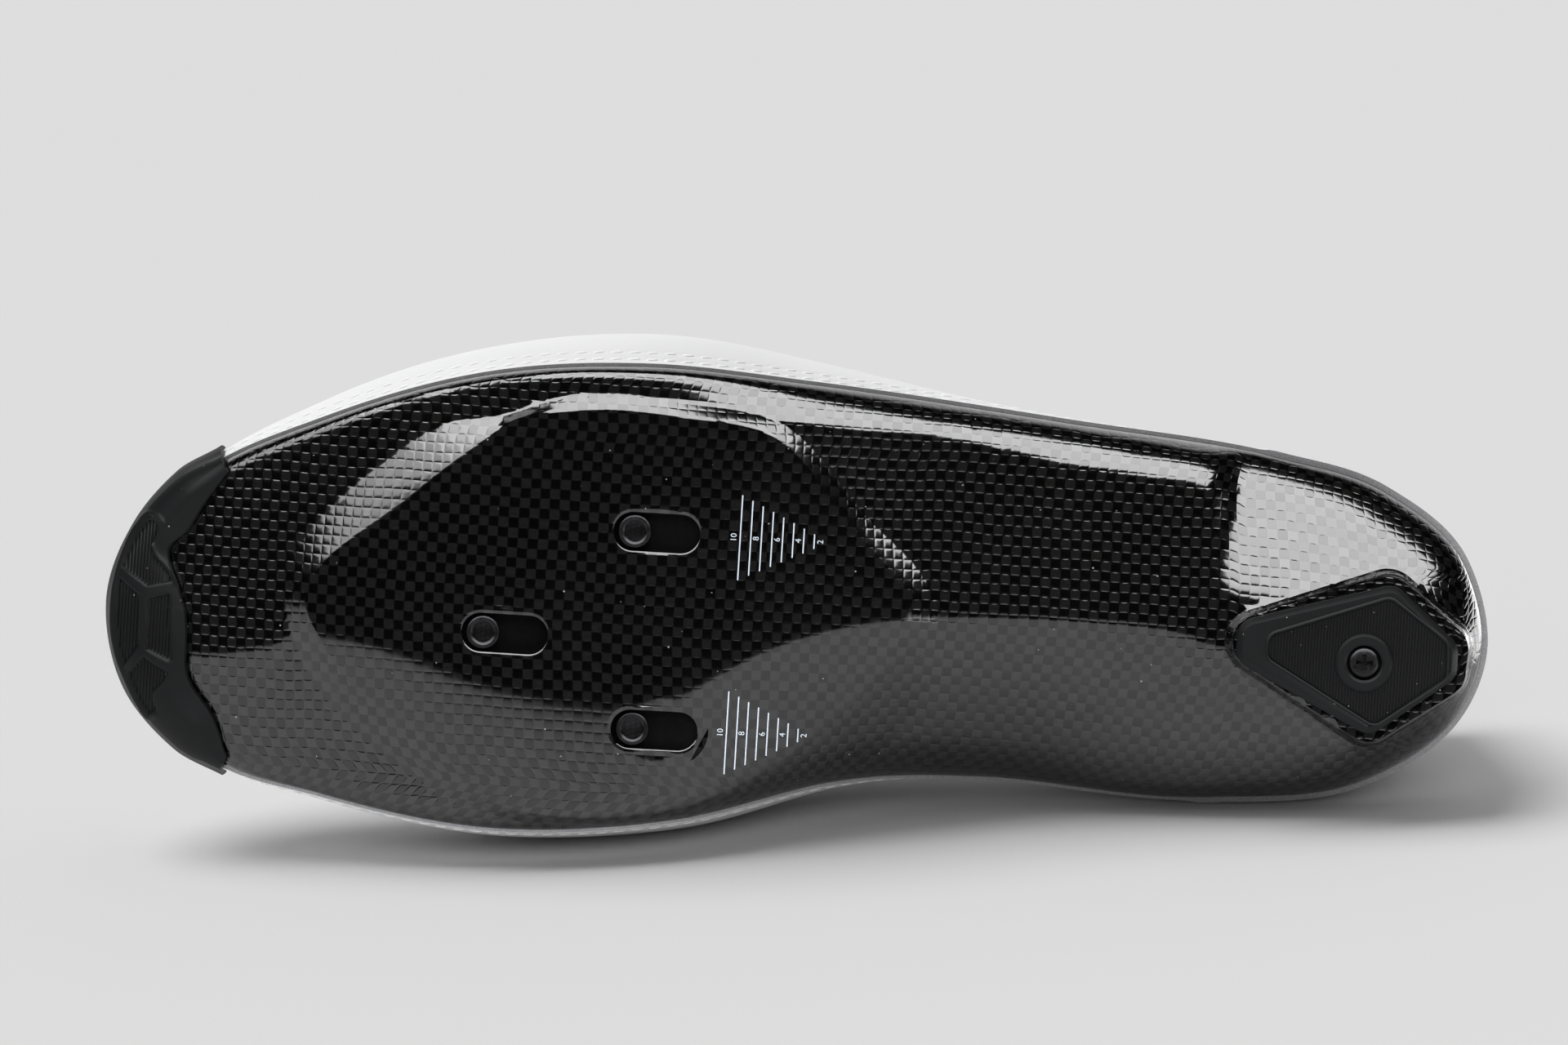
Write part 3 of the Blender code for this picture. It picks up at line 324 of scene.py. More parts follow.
def filleted(corners, radius, per_corner, per_side):
    """Polygon with rounded corners and evenly filled straight sides."""
    corners = np.array(corners) * (LENGTH, BALL_WIDTH)
    points = []
    for index, corner in enumerate(corners):
        back = corners[index - 1] - corner
        ahead = corners[(index + 1) % len(corners)] - corner
        back /= np.linalg.norm(back)
        ahead /= np.linalg.norm(ahead)
        half = math.acos(float(back @ ahead)) / 2
        bisector = (back + ahead) / np.linalg.norm(back + ahead)
        middle = corner + bisector * (radius / math.sin(half))
        side = back - bisector * (back @ bisector)
        side /= np.linalg.norm(side)
        for angle in np.linspace(math.pi / 2 - half, half - math.pi / 2, per_corner):
            turned = side * math.sin(angle) - bisector * math.cos(angle)
            points.append(middle + radius * turned)
    filled = []
    for index, point in enumerate(points):
        filled.append(point)
        if index % per_corner == per_corner - 1:
            beyond = points[(index + 1) % len(points)]
            shares = np.arange(1, per_side + 1) / (per_side + 1)
            filled += [point + (beyond - point) * share for share in shares]
    return np.array(filled)


PLATFORM_LOOP = smooth_loop(np.array(PLATFORM) * (LENGTH, BALL_WIDTH, BALL_WIDTH), 200)
ISLAND_LOOP = filleted(ISLAND, ISLAND_CORNER_RADIUS, 16, 16)
PAD_LOOP = filleted(PAD_CORNERS, 0.0041, 14, 14)
TREAD_LOOP = filleted(TREAD_CORNERS, 0.0026, 14, 14)
print("platform of %.0f mm" % (np.ptp(PLATFORM_LOOP[:, 0]) / MM))
print("pad of %.0f mm" % (np.ptp(PAD_LOOP[:, 0]) / MM))


# %% The sole's underside as a height over the plan
def keel(x):
    """Height of the underside along the middle."""
    rows = np.array(KEEL) * (LENGTH, ARCH_HEIGHT)
    return through(rows[:, 0], rows[:, 1], np.clip(x, 0, LENGTH))


def spine_end(s):
    """Places round the rim, moved so that the heel's wide ramp ends at once at the spine."""
    share = (s - station[3]) / (station[4] - station[3])
    turned = station[3] + ease((share - SPINE_START) / SPINE_LENGTH) * (station[4] - station[3])
    return np.where((share > 0) & (share < 1), turned, s)


def sides(depth, s):
    """Climb of the underside near the rim: a ramp, then a rounded edge."""
    _, ramp_rise, _, edge_rise = around("sides", s).T
    climb = ramp_rise + edge_rise
    ramp_width, ramp_rise, edge_width, _ = around("sides", spine_end(s)).T
    ramp = np.clip(1 - depth / ramp_width, 0, 1)
    edge = np.clip(1 - depth / edge_width, 0, 1)
    return ramp_rise * ramp ** RAMP_POWER + (climb - ramp_rise) * (1 - np.sqrt(1 - edge * edge))


def shell(points):
    """Height of the underside without its platform and island."""
    depth, s = rim_place(points)
    return keel(points[:, 0]) + sides(depth, s)


def underside(points):
    """Height of the sole's outer face."""
    gap, index, _ = closest(points, PLATFORM_LOOP[:, :2])
    on_top = inside(points, PLATFORM_LOOP[:, :2])
    raised = np.where(on_top, 1.0, np.clip(1 - gap / PLATFORM_LOOP[index, 2], 0, 1))
    height = shell(points) - PLATFORM_RISE * raised
    gap, _, _ = closest(points, ISLAND_LOOP)
    share = np.where(inside(points, ISLAND_LOOP), 1.0, ease(1 - gap / ISLAND_CHAMFER))
    return height * (1 - share) + np.minimum(height, ISLAND_LEVEL) * share


def rim_height(s):
    """Top of the sole's rim."""
    return keel(around("rim", s)[:, 0]) + sides(np.zeros(len(s)), s) + RIM_LIP


heel_and_ball = keel(np.array([0.16, 0.68]) * LENGTH) / MM
print("underside %.1f mm up at the heel and %.1f mm at the ball" % tuple(heel_and_ball))


# %% The upper's outer face as a curve over each place of the rim
def cubic(points, t):
    """Cubic curve through four control points, for arrays of each."""
    a, b, c, d = points
    t = t[:, None]
    return a * (1 - t) ** 3 + 3 * b * t * (1 - t) ** 2 + 3 * c * t * t * (1 - t) + d * t ** 3


def last(s, t):
    """Outer face of the upper at places s round the rim and shares t of the way up."""
    foot = np.column_stack([around("rim", s), rim_height(s) + GAP])
    out = np.column_stack([rim_outward(s), np.zeros(len(s))])
    up = np.array([0.0, 0.0, 1.0])
    crest_x, crest_y, crest_z, _ = around("crest", s).T
    crest = np.column_stack([crest_x * LENGTH, crest_y * BALL_WIDTH, crest_z * INSTEP_HEIGHT])
    lean, lower, flat, upper = around("curve", s).T[..., None]
    chord = np.linalg.norm(crest - foot, axis=1, keepdims=True)
    away = (foot - crest) * (1, 1, 0)
    away /= np.linalg.norm(away, axis=1, keepdims=True)
    start = foot + chord * lower * (out * lean + up * np.sqrt(1 - lean * lean))
    arrive = crest + chord * upper * (away * flat - up * np.sqrt(1 - flat * flat))
    return cubic((foot, start, arrive, crest), np.asarray(t, dtype=float))


def last_normal(s, t):
    """Unit vector out of the upper."""
    step = 1e-3
    across = last(s + step, t) - last(s - step, t)
    climb = last(s, np.minimum(t + step, 1)) - last(s, np.maximum(t - step, 0))
    normal = np.cross(climb, across)
    return normal / np.linalg.norm(normal, axis=1, keepdims=True)


def open_share(s):
    """How far up each section the upper reaches."""
    return np.minimum(around("crest", s)[:, 3], 1.0)


def at_height(plan, height):
    """Plan points with a height."""
    return np.column_stack([plan, np.broadcast_to(height, len(plan))])


collar = last(np.zeros(1), np.ones(1))[0] / MM
print("back of the collar %.0f mm up and %.0f mm along" % (collar[2], collar[0]))

# %% [markdown]
# ## From the shoe's frame to the floor
#
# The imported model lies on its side. Three mounts are known in both frames: the faces of
# two cleat nuts and a point on the heel pad's border. The best rigid turn between the
# two sets comes from a singular value decomposition. The third nut is left out of it,
# because the ramp beside that nut is wider here than on the solid. Every piece is drawn
# in the shoe's own frame, and its points are turned onto the floor as the mesh is made.

# %% Where the shoe lies
SLOT_LENGTH = 0.0176
SLOT_WIDTH = 0.0078
NUT_FORWARD = 0.0045
NUT_RADIUS = 0.0034
NUT_BORE = 0.0021
NUT_RECESS = 0.0006
PAD_HEIGHT = 0.0030
PAD_CHAMFER = 0.0012
TREAD = ISLAND_LEVEL - GAP - PAD_HEIGHT


def circle(centre, radius, count):
    """Points round a circle in plan."""
    angles = np.arange(count) / count * math.tau
    return np.column_stack([centre[0] + radius * np.cos(angles), centre[1] + radius * np.sin(angles)])


def nut_axis(name):
    """Middle of a nut in plan."""
    return np.array(SLOTS[name]) * (LENGTH, BALL_WIDTH) + (NUT_FORWARD, 0)


def nut_face(name):
    """Height of a nut's face, a little inside the slot's mouth."""
    return underside(circle(nut_axis(name), SLOT_WIDTH / 2, 20)).max() + NUT_RECESS


def nut_mount(name):
    """Place of a nut's mount, on its face at the toe's side."""
    return (*(nut_axis(name) + ((NUT_RADIUS + NUT_BORE) / 2, 0)), nut_face(name))


MOUNTS = {
    "cleat_nut_front_face": nut_mount("cleat_nut_front"),
    "cleat_nut_lateral_face": nut_mount("cleat_nut_lateral"),
    "heel_pad_tread": (39.75 * MM, 3.19 * MM, TREAD),
}
placed = {mount["name"]: mount["pos_m"] for mount in frame["record"]["mounts"]}
in_shoe = list(MOUNTS.values())
in_world = [placed[name] for name in MOUNTS]
a, b = np.array(in_shoe), np.array(in_world)
left, _, right = np.linalg.svd((a - a.mean(0)).T @ (b - b.mean(0)))
mirror = np.diag([1.0, 1.0, np.sign(np.linalg.det(right.T @ left.T))])
turn = right.T @ mirror @ left.T
shift = b.mean(0) - turn @ a.mean(0)


def in_room(points):
    """Points of the shoe's frame where the shoe lies."""
    return np.asarray(points) @ turn.T + shift


print("mounts meet within %.3f mm" % (np.abs(in_room(a) - b).max() / MM))
medial_gap = in_room(nut_mount("cleat_nut_medial")) - placed["cleat_nut_medial_face"]
print("medial nut %.2f mm off its mount" % (np.linalg.norm(medial_gap) / MM))

# %% [markdown]
# ## Shader sums
#
# A material's pattern is arithmetic on coordinates. Wrapping a socket in a small class
# lets that arithmetic be written as plain Python, and each operator adds one Math node.


# %% A socket that can be added and multiplied
class Wire:
    """An output socket of a node tree, used in sums."""

    def __init__(self, nodes, socket):
        self.nodes = nodes
        self.socket = socket

    def sum(self, operation, first, second=0.0):
        """One Math node."""
        return self.nodes.node("ShaderNodeMath", {"operation": operation}, {0: first, 1: second})

    def __add__(self, other):
        return self.sum("ADD", self, other)

    __radd__ = __add__

    def __sub__(self, other):
        return self.sum("SUBTRACT", self, other)

    def __rsub__(self, other):
        return self.sum("SUBTRACT", other, self)

    def __mul__(self, other):
        return self.sum("MULTIPLY", self, other)

    __rmul__ = __mul__

    def __truediv__(self, other):
        return self.sum("DIVIDE", self, other)

    def __mod__(self, other):
        return self.sum("FLOORED_MODULO", self, other)

    def __pow__(self, other):
        return self.sum("POWER", self, other)

    def __gt__(self, other):
        return self.sum("GREATER_THAN", self, other)

    def __lt__(self, other):
        return self.sum("LESS_THAN", self, other)

    def floor(self):
        """The whole number below."""
        return self.sum("FLOOR", self)

    def sine(self):
        """Sine, in radians."""
        return self.sum("SINE", self)

    def size(self):
        """Absolute value."""
        return self.sum("ABSOLUTE", self)

    def limited(self):
        """Kept between 0 and 1."""
        return self.sum("MINIMUM", self.sum("MAXIMUM", self, 0.0), 1.0)


class Nodes:
    """A node tree that sums are written in."""

    def __init__(self, tree):
        self.tree = tree

    def node(self, kind, settings=None, inputs=None, output=0):
        """Any node: its settings first, then the values or links of its sockets."""
        made = self.tree.nodes.new(kind)
        for key, value in (settings or {}).items():
            setattr(made, key, value)
        for key, value in (inputs or {}).items():
            self.join(made.inputs[key], value)
        return Wire(self, made.outputs[output])

    def join(self, socket, value):
        """Links a wire to a socket, or sets the socket to a plain value."""
        if isinstance(value, Wire):
            self.tree.links.new(value.socket, socket)
        else:
            socket.default_value = value


class Finish(Nodes):
    """A Principled material whose inputs are fed by sums."""

    def __init__(self, name, colour, roughness, **steady):
        self.material = bpy.data.materials.new(name)
        self.material.use_nodes = True
        super().__init__(self.material.node_tree)
        self.shader = self.tree.nodes["Principled BSDF"]
        self.feed(**{"Base Color": (*colour, 1.0), "Roughness": roughness})
        self.feed(**{key.replace("_", " "): value for key, value in steady.items()})

    def feed(self, **inputs):
        """Sets or links inputs of the Principled shader."""
        for key, value in inputs.items():
            self.join(self.shader.inputs[key], value)

    def blend(self, factor, first, second):
        """Colour between two others."""
        return self.node(
            "ShaderNodeMix", {"data_type": "RGBA"},
            {"Factor": factor, 6: (*first, 1.0) if isinstance(first, tuple) else first,
             7: (*second, 1.0) if isinstance(second, tuple) else second}, 2)

    def place(self):
        """The point on the piece."""
        return self.node("ShaderNodeTexCoord", output="Object")

    def along(self, axis):
        """Distance along the shoe's length (0), across it (1) or up through it (2)."""
        way = tuple(float(part) for part in turn[:, axis])
        return self.node("ShaderNodeVectorMath", {"operation": "DOT_PRODUCT"}, {0: self.place(), 1: way}, 1)

    def split(self, vector):
        """Three numbers of a vector."""
        return [self.node("ShaderNodeSeparateXYZ", {}, {0: vector}, axis) for axis in range(3)]

    def noise(self, where, per_metre, detail=2.0):
        """Soft noise from 0 to 1 with so many features per metre."""
        return self.node("ShaderNodeTexNoise", {}, {"Vector": where, "Scale": per_metre, "Detail": detail})

    def bump(self, height, metres, under=None):
        """Bumps of that height on the surface."""
        inputs = {"Height": height, "Distance": metres, "Strength": 1.0}
        if under:
            inputs["Normal"] = under
        return self.node("ShaderNodeBump", {}, inputs)


# %% [markdown]
# ## Woven carbon under clear resin
#
# The sole is a plain weave of flat tows about 2 mm wide, moulded under gloss resin. One
# tow of each cell lies on top, running lengthwise in one cell and crosswise in the next.
# The two directions catch the light differently, and that sheen is painted into the colour: the cells with
# the lengthwise tow on top are a lighter grey, with paler fibre streaks on them, so the chequer is a
# painted sheen. The resin follows the cells, which breaks a reflection into small cushions. The cells come
# from the whole and fractional parts of the weave's own coordinates, which follow the moulded surface, so
# that they don't stretch on its walls.

# %% Carbon finish
TOW = 2.05 * MM
CROWN = 0.050 * MM
DRIFT = 0.34
carbon = Finish("woven carbon", (0.01, 0.01, 0.01), 0.12, IOR=1.9)
weave = carbon.node("ShaderNodeUVMap", {"uv_map": "weave"})
shoe_point = carbon.place()
drift = carbon.node(
    "ShaderNodeTexNoise", {}, {"Vector": shoe_point, "Scale": 90.0, "Detail": 1.0}, "Color"
)
drift_u, drift_v, _ = carbon.split(drift)
weave_u, weave_v, _ = carbon.split(weave)
cell_u = weave_u / TOW + drift_u * DRIFT
cell_v = weave_v / TOW + drift_v * DRIFT
over = (cell_u.floor() + cell_v.floor()) % 2.0
part_u = cell_u % 1.0
part_v = cell_v % 1.0
which = carbon.node("ShaderNodeCombineXYZ", {}, {0: cell_u.floor(), 1: cell_v.floor()})
chance = carbon.node("ShaderNodeTexWhiteNoise", {"noise_dimensions": "2D"}, {"Vector": which})


def cushion(along, across):
    """Height of a tow where it comes up over a cell: arched along, fuller across."""
    end = (along * 2.0 - 1.0).size()
    flank = (across * 2.0 - 1.0).size()
    return (1.0 - end ** 2.5) * (1.0 - flank ** 5.0)


emboss = carbon.node("ShaderNodeAttribute", {"attribute_name": "emboss"}, output="Fac")
crown = cushion(part_u, part_v) * over + cushion(part_v, part_u) * (1.0 - over) * 0.8
along_u = carbon.node("ShaderNodeCombineXYZ", {}, {0: weave_u * 300.0, 1: weave_v * 7000.0})
along_v = carbon.node("ShaderNodeCombineXYZ", {}, {0: weave_u * 7000.0, 1: weave_v * 300.0})
fibre = carbon.noise(along_u, 1.0) * over + carbon.noise(along_v, 1.0) * (1.0 - over)
# painted sheen: cells of one weave direction are lighter, and paler fibre streaks lie on them, in place of
# the light the fibres catch
painted_sheen = carbon.blend(over, (0.0008, 0.0008, 0.0009), (0.0066, 0.0065, 0.0064))
painted_sheen = carbon.blend((fibre - 0.40) * over * (0.6 + chance), painted_sheen, (0.020, 0.020, 0.019))
specks = carbon.node("ShaderNodeTexVoronoi", {}, {"Vector": shoe_point, "Scale": 420.0})
rare = carbon.noise(shoe_point, 700.0, 0.0) > 0.70
dust = (specks < 0.08) * rare
carbon.feed(**{
    "Base Color": carbon.blend(dust, painted_sheen, (0.16, 0.16, 0.15)),
    "Metallic": (1.0 - over) * 0.08 + chance * 0.10,
    "Roughness": 0.10 + carbon.noise(shoe_point, 60.0) * 0.06 + dust * 0.4,
    "Normal": carbon.bump((crown + fibre * 0.08) * emboss, CROWN),
})
print("carbon uses %d nodes" % len(carbon.tree.nodes))

# %% [markdown]
# ## The other finishes
#
# The upper is a coated synthetic with a fine leather grain. The bumper and the pad are moulded rubber with
# a soft sheen and a little moulding dust. The nuts are black coated steel, and the plates they sit on are
# painted nearly black as shade, so that the floor of each slot reads dark. The lining and the insole are
# knitted, with painted shade in the hollows between stitches.

# %% White synthetic upper
white = Finish("white synthetic", (0.78, 0.78, 0.78), 0.42, Specular_IOR_Level=0.3)
where = white.place()
grain = white.node(
    "ShaderNodeTexVoronoi", {"feature": "DISTANCE_TO_EDGE"}, {"Vector": where, "Scale": 1500.0}
)
cloud = white.noise(where, 45.0, 3.0)
white.feed(**{
    "Base Color": white.blend(cloud, (0.76, 0.76, 0.765), (0.80, 0.80, 0.80)),
    "Roughness": 0.36 + cloud * 0.16,
    "Normal": white.bump(grain * 0.6 + white.noise(where, 260.0) * 0.6, 0.05 * MM),
})

grey_edge = Finish("cut edge", (0.30, 0.30, 0.31), 0.8)
where = grey_edge.place()
fuzz = grey_edge.noise(where, 2600.0, 3.0)
grey_edge.feed(**{
    "Base Color": grey_edge.blend(fuzz, (0.16, 0.16, 0.17), (0.45, 0.45, 0.46)),
    "Normal": grey_edge.bump(fuzz, 0.12 * MM),
})

thread = Finish("thread", (0.84, 0.84, 0.84), 0.6)
where = thread.place()
twist = thread.noise(where, 3000.0)
thread.feed(**{"Base Color": thread.blend(twist, (0.78, 0.78, 0.78), (0.90, 0.90, 0.90))})


# %% Knitted lining, also on the insole and the lace
def knitted(name, dark, pale, pitch, depth):
    """Cloth with small rounded stitches in rows, painted darker in the hollows between them as shade."""
    cloth = Finish(name, pale, 0.85, Sheen_Weight=0.25)
    x, y, z = (cloth.along(axis) for axis in range(3))
    row = ((x * 0.8 + z * 0.6) * (math.pi / pitch)).sine()
    wale = ((y * 0.9 - z * 0.5 + x * 0.3) * (math.pi / pitch)).sine()
    stitch = (row * wale).size()
    soil = cloth.noise(cloth.place(), 70.0)
    # painted shade: the colour darkens with the stitch relief, into the hollows between stitches, and the
    # noise adds a random tone
    cloth.feed(**{
        "Base Color": cloth.blend(stitch * 0.7 + soil * 0.3, dark, pale),
        "Normal": cloth.bump(stitch, depth),
    })
    return cloth


lining = knitted("grey lining", (0.10, 0.10, 0.11), (0.22, 0.22, 0.235), 1.3 * MM, 0.15 * MM)
insole_cloth = knitted("insole cloth", (0.04, 0.04, 0.045), (0.085, 0.085, 0.09), 0.9 * MM, 0.12 * MM)
lace_cloth = knitted("woven lace", (0.62, 0.62, 0.63), (0.86, 0.86, 0.87), 0.7 * MM, 0.10 * MM)
tongue_cloth = knitted("tongue mesh", (0.52, 0.52, 0.53), (0.80, 0.80, 0.81), 1.6 * MM, 0.18 * MM)

# %% Moulded rubber and coated steel
rubber = Finish("black rubber", (0.006, 0.006, 0.006), 0.42, Specular_IOR_Level=0.12)
where = rubber.place()
haze = rubber.noise(where, 30.0, 3.0)
speck = rubber.node("ShaderNodeTexVoronoi", {}, {"Vector": where, "Scale": 520.0})
lint = (speck < 0.10) * (rubber.noise(where, 800.0, 0.0) > 0.68)
rubber_shade = rubber.blend(haze, (0.0050, 0.0054, 0.0057), (0.0080, 0.0084, 0.0090))
rubber.feed(**{
    "Base Color": rubber.blend(lint, rubber_shade, (0.2, 0.2, 0.2)),
    "Roughness": 0.36 + haze * 0.16,
    "Normal": rubber.bump(rubber.noise(where, 2200.0), 0.02 * MM),
})

steel = Finish("black steel", (0.03, 0.03, 0.03), 0.28, Metallic=1.0)
where = steel.place()
wear = steel.noise(where, 900.0, 3.0)
steel.feed(**{
    "Base Color": steel.blend(wear, (0.020, 0.020, 0.021), (0.055, 0.055, 0.058)),
    "Roughness": 0.20 + wear * 0.25,
    "Normal": steel.bump(wear, 0.01 * MM),
})

# painted shade: the plate at the floor of each slot is nearly black and barely reflects, so that the slot
# reads dark
nut_plate_shade = Finish("nut plate dark as painted shade", (0.002, 0.002, 0.002), 0.5, Specular_IOR_Level=0.04)
stain = nut_plate_shade.noise(nut_plate_shade.place(), 600.0)
nut_plate_shade.feed(**{
    "Base Color": nut_plate_shade.blend(stain, (0.0012, 0.0012, 0.0012), (0.0030, 0.0030, 0.0030)),
    "Roughness": 0.40 + stain * 0.2,
})

print_ink = Finish("pale ink", (0.55, 0.60, 0.68), 0.5)
screening = print_ink.noise(print_ink.place(), 3000.0)
print_ink.feed(**{"Base Color": print_ink.blend(screening, (0.42, 0.47, 0.55), (0.68, 0.73, 0.80))})
print("finishes:", len(bpy.data.materials))

# %% [markdown]
# ## Making and placing a piece
#
# Every piece is a mesh in the shoe's frame. One helper builds it, smooths it except at
# sharp edges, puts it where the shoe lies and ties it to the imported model.


# %% Helpers for pieces
def mesh_piece(
    name, points, faces, finishes, stands_for=(), slots=None, sharp=35, weld=0.0, weave_at=None
):
    """A placed piece; slots gives the finish of each face by its number."""
    mesh = bpy.data.meshes.new(name)
    resting = in_room(points)
    # the wall lies flat where the shoe rests on the floor
    resting[:, 2] = np.maximum(resting[:, 2], 0.0)
    mesh.from_pydata(resting.tolist(), [], [tuple(map(int, face)) for face in faces])
    for finish in finishes:
        mesh.materials.append(finish.material)
    if slots is not None:
        mesh.polygons.foreach_set("material_index", np.asarray(slots, dtype=np.int32))
    if weave_at is not None:
        layer = mesh.uv_layers.new(name="weave")
        corners = np.empty(len(mesh.loops), dtype=np.int32)
        mesh.loops.foreach_get("vertex_index", corners)
        layer.data.foreach_set("uv", weave_at[corners, :2].astype(np.float32).ravel())
        relief_layer = mesh.attributes.new("emboss", "FLOAT", "POINT")
        relief_layer.data.foreach_set("value", weave_at[:, 2].astype(np.float32))
    shape = bmesh.new()
    shape.from_mesh(mesh)
    if weld:
        bmesh.ops.remove_doubles(shape, verts=shape.verts, dist=weld)
        bmesh.ops.dissolve_degenerate(shape, edges=shape.edges, dist=weld)
    bmesh.ops.recalc_face_normals(shape, faces=shape.faces)
    shape.to_mesh(mesh)
    shape.free()
    mesh.shade_smooth()
    mesh.set_sharp_from_angle(angle=math.radians(sharp))
    piece = bpy.data.objects.new(name, mesh)
    bpy.context.scene.collection.objects.link(piece)
    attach(piece, "root")
    if stands_for:
        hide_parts(*stands_for)
    print("%s: %d faces" % (name, len(mesh.polygons)))
    return piece


def ring_strip(first, second, count, closed=True):
    """Quads between two rings of the same length, given by their first indices."""
    return [
        (first + i, first + (i + 1) % count, second + (i + 1) % count, second + i)
        for i in range(count if closed else count - 1)
    ]


def tube_faces(rings, count, joined):
    """Faces of stacked rings, joined end to end or capped."""
    faces = []
    for index in range(rings - 1):
        faces += ring_strip(index * count, (index + 1) * count, count)
    if joined:
        return faces + ring_strip((rings - 1) * count, 0, count)
    last_ring = (rings - 1) * count
    return faces + [tuple(range(count)), tuple(range(last_ring + count - 1, last_ring - 1, -1))]


def rings_piece(name, rings, finishes, stands_for=(), joined=False, sharp=35, first_rings=0):
    """A piece of stacked rings; its first rings may have the second finish."""
    count = len(rings[0])
    faces = tube_faces(len(rings), count, joined)
    slots = [1 if index < first_rings * count else 0 for index in range(len(faces))]
    points = np.concatenate(rings)
    return mesh_piece(name, points, faces, finishes, stands_for, slots=slots, sharp=sharp)


# %% [markdown]
# ## The sole
#
# The sole is one hard shell: a flat cleat platform with a chamfer, an island for the
# heel pad, and a rim that rises to meet the upper. It is a height over its plan, so it
# is meshed in plan. A triangulation that keeps given edges puts every crease in a row
# of edges and fills between with an even grid. The slots are holes in that plan, with a
# small broken edge and a wall down to the pocket of the nut.


# %% Triangles over the plan
def plan_mesh(boundary, creases, holes, spacing):
    """Points, triangles and the indices of each hole's loop and of the boundary."""
    loops = [boundary] + list(holes)
    points, edges = [], []
    for loop in loops:
        base = sum(map(len, points))
        points.append(loop)
        edges += [(base + i, base + (i + 1) % len(loop)) for i in range(len(loop))]
    edge_zone = offset_loop(boundary, -spacing * 0.1)
    for loop in creases:
        kept = inside(loop, edge_zone)
        for hole in holes:
            kept &= ~inside(loop, offset_loop(hole, spacing * 0.3))
        base = sum(map(len, points))
        place = base + np.cumsum(kept) - 1
        points.append(loop[kept])
        following = [(i, (i + 1) % len(loop)) for i in range(len(loop))]
        edges += [(int(place[i]), int(place[j])) for i, j in following if kept[i] and kept[j]]
    placed = np.concatenate(points)
    low, high = boundary.min(0), boundary.max(0)
    columns = np.arange(low[0], high[0], spacing)
    grid = np.concatenate([
        np.column_stack([columns + spacing * 0.5 * (row % 2), np.full(len(columns), y)])
        for row, y in enumerate(np.arange(low[1], high[1], spacing * 0.87))
    ])
    grid = grid[inside(grid, boundary)]
    clear = np.concatenate([
        np.linalg.norm(block[:, None] - placed[None], axis=2).min(1) > spacing * 0.45
        for block in np.array_split(grid, 12)
    ])
    everything = np.concatenate([placed, grid[clear]])
    vertices, _, triangles, origins, _, _ = delaunay_2d_cdt(
        [Vector(point) for point in everything], edges, [], 0, 1e-7
    )
    plan = np.array([tuple(vertex) for vertex in vertices])
    middles = plan[np.array(triangles)].mean(1)
    kept = inside(middles, boundary)
    for hole in holes:
        kept &= ~inside(middles, hole)
    triangles = [face for face, keep in zip(triangles, kept) if keep]
    found = {source: index for index, sources in enumerate(origins) for source in sources}
    orders, base = [], 0
    for loop in loops:
        orders.append([found[base + i] for i in range(len(loop))])
        base += len(loop)
    return plan, triangles, orders


def rim_ring(inset, count):
    """Ring in plan set in from the rim."""
    s = np.arange(count) / count
    return around("rim", s) - rim_outward(s) * inset


def stadium(centre, length, width, per_end):
    """Outline of a slot along x."""
    radius = width / 2
    reach = length / 2 - radius
    angles = np.linspace(-math.pi / 2, math.pi / 2, per_end)
    ends = np.column_stack([np.cos(angles), np.sin(angles)]) * radius
    return np.concatenate([centre + (reach, 0) + ends, centre - (reach, 0) - ends])


# %% Sole: outer face, floor, rim and slots
SOLE_COLUMNS = 420
SOLE_SPACING = 1.5 * MM
FLOOR_SPACING = 4 * MM
CREASE_HALF = 0.45 * MM
RIM_INSETS = (0.25, 0.7, 1.3, 2.1, 3.1, 4.4, 6.0, 8.0, 10.5)
SLOT_BREAK = 0.35 * MM
SLOT_POINTS = 20
MOUTH_MARGIN = 0.6 * MM
POCKET_DEPTH = 0.0018
POCKET_LENGTH = 0.0222
POCKET_WIDTH = 0.0142
SCREW_POINT = np.array((0.091, -0.053)) * (LENGTH, BALL_WIDTH)
SCREW_SHANK_RADIUS = 0.0017
PLATFORM_EMBOSS = 0.3
EMBOSS_FADE = 2 * MM

platform_top = PLATFORM_LOOP[:, :2]
platform_way = offset_loop(platform_top, 1.0) - platform_top
creases = [rim_ring(inset * MM, SOLE_COLUMNS) for inset in RIM_INSETS]
creases += [offset_loop(platform_top, step * CREASE_HALF) for step in (-1, 0, 1)]
creases += [
    platform_top + platform_way * (PLATFORM_LOOP[:, 2:] + step * CREASE_HALF) for step in (-1, 0, 1)
]
creases += [offset_loop(ISLAND_LOOP, step * ISLAND_CHAMFER) for step in (0.0, 0.25, 0.5, 0.75, 1.0)]
slot_centres = [np.array(SLOTS[name]) * (LENGTH, BALL_WIDTH) for name in SLOTS]
mouth_size = (SLOT_LENGTH + 2 * SLOT_BREAK, SLOT_WIDTH + 2 * SLOT_BREAK)
mouths = [stadium(centre, *mouth_size, SLOT_POINTS) for centre in slot_centres]
creases += [offset_loop(mouth, MOUTH_MARGIN) for mouth in mouths]
screw_hole = circle(SCREW_POINT, SCREW_SHANK_RADIUS + FIT, 32)
outer = rim_ring(0.0, SOLE_COLUMNS)
below_xy, below_faces, below_loops = plan_mesh(outer, creases, mouths + [screw_hole], SOLE_SPACING)
below = at_height(below_xy, underside(below_xy))
inner = rim_ring(RIM_WIDTH, SOLE_COLUMNS)
pockets = [stadium(centre, POCKET_LENGTH, POCKET_WIDTH, SLOT_POINTS) for centre in slot_centres]
floor_xy, floor_faces, floor_loops = plan_mesh(inner, [], pockets + [screw_hole], FLOOR_SPACING)
floor = at_height(floor_xy, shell(floor_xy) + SOLE_FLOOR)
print("sole plan: %d triangles below, %d inside" % (len(below_faces), len(floor_faces)))


